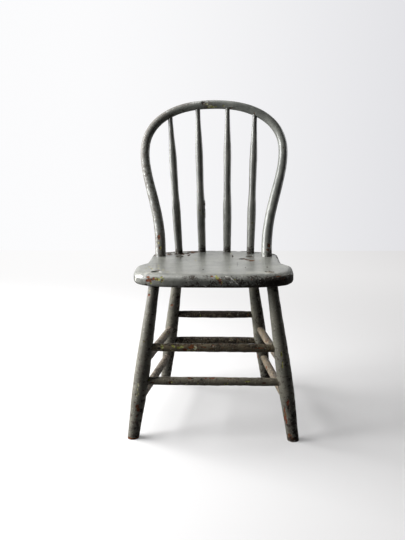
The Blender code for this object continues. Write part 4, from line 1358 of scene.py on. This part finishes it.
# %% Gouges in the seat
SEAT_GOUGES = [
    (-0.1010, 0.0930, 0.3297, 0.0050, 0.0070, 0.0040, -0.0014),
    (-0.0900, 0.1000, 0.3297, 0.0040, 0.0050, 0.0040, -0.0012),
    (-0.0700, 0.1120, 0.3297, 0.0060, 0.0060, 0.0040, -0.0014),
    (-0.0580, 0.1180, 0.3297, 0.0040, 0.0060, 0.0040, -0.0012),
    (-0.0450, 0.1260, 0.3297, 0.0060, 0.0050, 0.0040, -0.0013),
    (-0.0290, 0.1320, 0.3297, 0.0040, 0.0040, 0.0040, -0.0010),
    (0.0020, 0.1370, 0.3297, 0.0110, 0.0030, 0.0040, -0.0013),
    (0.0300, 0.1360, 0.3297, 0.0110, 0.0030, 0.0040, -0.0013),
    (0.0520, 0.1310, 0.3297, 0.0080, 0.0034, 0.0040, -0.0013),
    (0.0690, 0.1230, 0.3297, 0.0070, 0.0040, 0.0040, -0.0012),
    (0.0950, 0.1060, 0.3297, 0.0060, 0.0050, 0.0040, -0.0012),
    (0.0640, 0.0400, 0.3280, 0.0070, 0.0040, 0.0030, -0.0008),
    (0.0797, 0.0180, 0.3280, 0.0050, 0.0050, 0.0030, -0.0008),
]
print("gouges:", len(SEAT_GOUGES))

# %% [markdown]
# ### Scratches
# A scratch is a line between two points, with a width. A node group measures how far each place
# on the surface is from that line, in widths, and noise breaks its edge. The mask it puts out
# lays a colour over the finished paint.

# %% The scratches' places, and two painted highlights
DARK_SCRATCHES = [
    ((-0.0792, 0.0980, 0.3297), (-0.0747, 0.0323, 0.3283), 0.0013),
    ((-0.0643, 0.0368, 0.3280), (-0.0569, 0.0141, 0.3277), 0.0012),
    ((0.0495, 0.0002, 0.3274), (0.0489, -0.0397, 0.3273), 0.0012),
    ((0.1189, -0.1270, 0.3287), (0.1302, -0.1319, 0.3228), 0.0009),
]
PALE_SCRATCHES_AND_GLINTS = [
    # The first two are painted highlights, pale gloss spots on the left ear; the rest are pale
    # scratches.
    ((-0.1420, -0.1230, 0.3235), (-0.1380, -0.1270, 0.3235), 0.0030),
    ((-0.1500, -0.1170, 0.3200), (-0.1519, -0.1149, 0.3132), 0.0026),
    ((0.0248, -0.1420, 0.3269), (0.0341, -0.1492, 0.3168), 0.0014),
    ((0.0290, -0.1425, 0.3262), (0.0372, -0.1492, 0.3168), 0.0012),
    ((0.0364, -0.1466, 0.3233), (0.0477, -0.1490, 0.3134), 0.0014),
    ((0.0330, -0.1435, 0.3256), (0.0400, -0.1480, 0.3200), 0.0010),
    ((-0.0200, -0.1480, 0.3120), (-0.0120, -0.1490, 0.3085), 0.0010),
    ((0.0023, -0.1414, 0.3273), (0.0050, -0.1400, 0.3279), 0.0010),
    ((0.0896, -0.1440, 0.3223), (0.0905, -0.1436, 0.3226), 0.0010),
]
print("scratches:", len(DARK_SCRATCHES) + len(PALE_SCRATCHES_AND_GLINTS))

# %% A scratch, as a node group
SCRATCH_GRAIN = 500.0           # waves in a metre
SCRATCH_RAGGED = 1.6
SCRATCH_EDGE = (0.6, 1.1)

scratch_tree, given, result = new_group(
    "scratch", [("Place", "Vector"), ("Start", "Vector"), ("End", "Vector"), ("Width", "Float")],
    [("Mask", "Float")])


def vector_maths(tree, operation, a, b):
    made = add_node(tree, "ShaderNodeVectorMath", {"operation": operation}, n0=a, n1=b)
    return made.outputs["Value"] if operation in ("DOT_PRODUCT", "LENGTH") else made.outputs[0]


line = vector_maths(scratch_tree, "SUBTRACT", given["End"], given["Start"])
offset = vector_maths(scratch_tree, "SUBTRACT", given["Place"], given["Start"])
share = maths(scratch_tree, "DIVIDE", vector_maths(scratch_tree, "DOT_PRODUCT", offset, line),
              vector_maths(scratch_tree, "DOT_PRODUCT", line, line), True)
nearest = add_node(scratch_tree, "ShaderNodeVectorMath", {"operation": "SCALE"}, n0=line,
                   Scale=share).outputs[0]
away = add_node(scratch_tree, "ShaderNodeVectorMath", {"operation": "DISTANCE"}, n0=offset,
                n1=nearest).outputs["Value"]
wobble = centred(scratch_tree, noise(scratch_tree, given["Place"], SCRATCH_GRAIN), SCRATCH_RAGGED)
broken = maths(scratch_tree, "ADD", maths(scratch_tree, "DIVIDE", away, given["Width"]), wobble)
outside = fade(scratch_tree, broken, *SCRATCH_EDGE)
scratch_tree.links.new(maths(scratch_tree, "SUBTRACT", 1.0, outside), result["Mask"])
print("nodes in the group:", len(scratch_tree.nodes))


# %% Scratches and two painted highlights over the seat's paint
SCRATCH_DARK = (0.022, 0.016, 0.012, 1)
# The pale colour serves the pale scratches and the two painted highlights on the left ear.
SCRATCH_PALE_AND_GLINT = (0.55, 0.54, 0.50, 1)


def scratched(material, lines, colour):
    """Lays scratches of one colour over a finished paint."""
    tree = material.node_tree
    place = add_node(tree, "ShaderNodeTexCoord").outputs["Object"]
    total = 0.0
    for start, end, width in lines:
        made = tree.nodes.new("ShaderNodeGroup")
        made.node_tree = scratch_tree
        tree.links.new(place, made.inputs["Place"])
        made.inputs["Start"].default_value = start
        made.inputs["End"].default_value = end
        made.inputs["Width"].default_value = width
        total = maths(tree, "MAXIMUM", total, made.outputs["Mask"])
    socket = tree.nodes["Principled BSDF"].inputs["Base Color"]
    under_and_painted_light = socket.links[0].from_socket
    tree.links.new(blend_colours(tree, total, under_and_painted_light, colour), socket)


scratched(seat_paint, DARK_SCRATCHES, SCRATCH_DARK)
scratched(seat_paint, PALE_SCRATCHES_AND_GLINTS, SCRATCH_PALE_AND_GLINT)
print("nodes in the seat's paint:", len(seat_paint.node_tree.nodes))

# %% [markdown]
# ### Where the seat is rubbed and dirty, and its painted light and shade
# Legs slide over the front lip and rub it pale, and that pale band is partly a painted highlight.
# Painted shade darkens the front face below the lip, more towards the right, away from the window.
# The seat is also darker along its bottom edge, low on the left side and on the sides behind the
# shoulders. Dirt lies along the rear edge and in soft patches on the top. Each rule below gives a
# number for every point.

# %% The seat's worn places and painted highlight
def seat_rubbed_and_highlight(points, normals):
    """The front lip is worn pale where legs slide over it, partly as a painted highlight."""
    lip = smoothstep(1 - np.abs(points[:, 1] + 0.120) / 0.018) * (points[:, 2] > SEAT_UNDER + 0.01)
    patches = smoothstep(0.2 + 1.6 * rough_noise(points, 0.045, 77, 3)) * (normals[:, 2] > 0.5)
    return 0.14 + 0.32 * lip + 0.14 * patches


# %% The seat's dirty places and painted shade
def seat_grime_and_shade(points, normals):
    """Each line is one darker place. It says how dark it is and fades it out at its borders, which
    are in metres. The lines for the front face are painted shade, darker towards the right."""
    x, y, z = points.T
    back = (np.abs(x) / SEAT_BACK_HALF_WIDTH) ** BACK_FULLNESS + (np.clip(
        y - Y_MOVE - BACK_CORNER_START, 0, None) / (SEAT_BACK - BACK_CORNER_START)) ** BACK_FULLNESS
    rear = smoothstep((back - np.where(x < 0.0, 0.46, 0.60)) / 0.30) * smoothstep((y - 0.06) / 0.03)
    rear = rear * np.where(x < 0.0, 0.74, 0.62) * mix(0.3, 1.0, smoothstep((z - 0.318) / 0.006))
    # Painted shade on the right part of the front face, away from the window.
    right_front_shade = 0.62 * smoothstep((x - 0.080) / 0.040) * smoothstep((0.3265 - z) / 0.006)
    right_front_shade = right_front_shade * smoothstep((-y - 0.020) / 0.060)
    low_edge = 0.30 * smoothstep((0.312 - z) / 0.005)
    # Painted shade: the front face is darker, more so towards the right.
    facing = smoothstep((-normals[:, 1] - 0.15) / 0.40)
    front = ((y < -0.10) * smoothstep((x + 0.12) / 0.10) * facing
             * mix(0.36, 0.46, smoothstep((x + 0.02) / 0.06)))
    left_edge = 0.30 * smoothstep((0.322 - z) / 0.01) * smoothstep((-x - 0.135) / 0.02)
    shoulder = 0.30 * smoothstep((np.abs(x) - 0.130) / 0.008) * (y > -0.02)
    patches = 0.20 * smoothstep(1.8 * rough_noise(points, 0.035, 91, 3)) * (normals[:, 2] > 0.5)
    return np.clip(0.06 + rear + right_front_shade + front + low_edge + left_edge + shoulder
                   + patches, 0, 0.8)


# %% The seat's wear
weather(seat, SEAT_CHIPS, rubbed_and_painted_light=seat_rubbed_and_highlight, grime_and_shade=seat_grime_and_shade, scatter=0.02, seed=300,
        dents=0.00040, lumps=0.012, bumps=SEAT_GOUGES)
settle(seat, "seat")
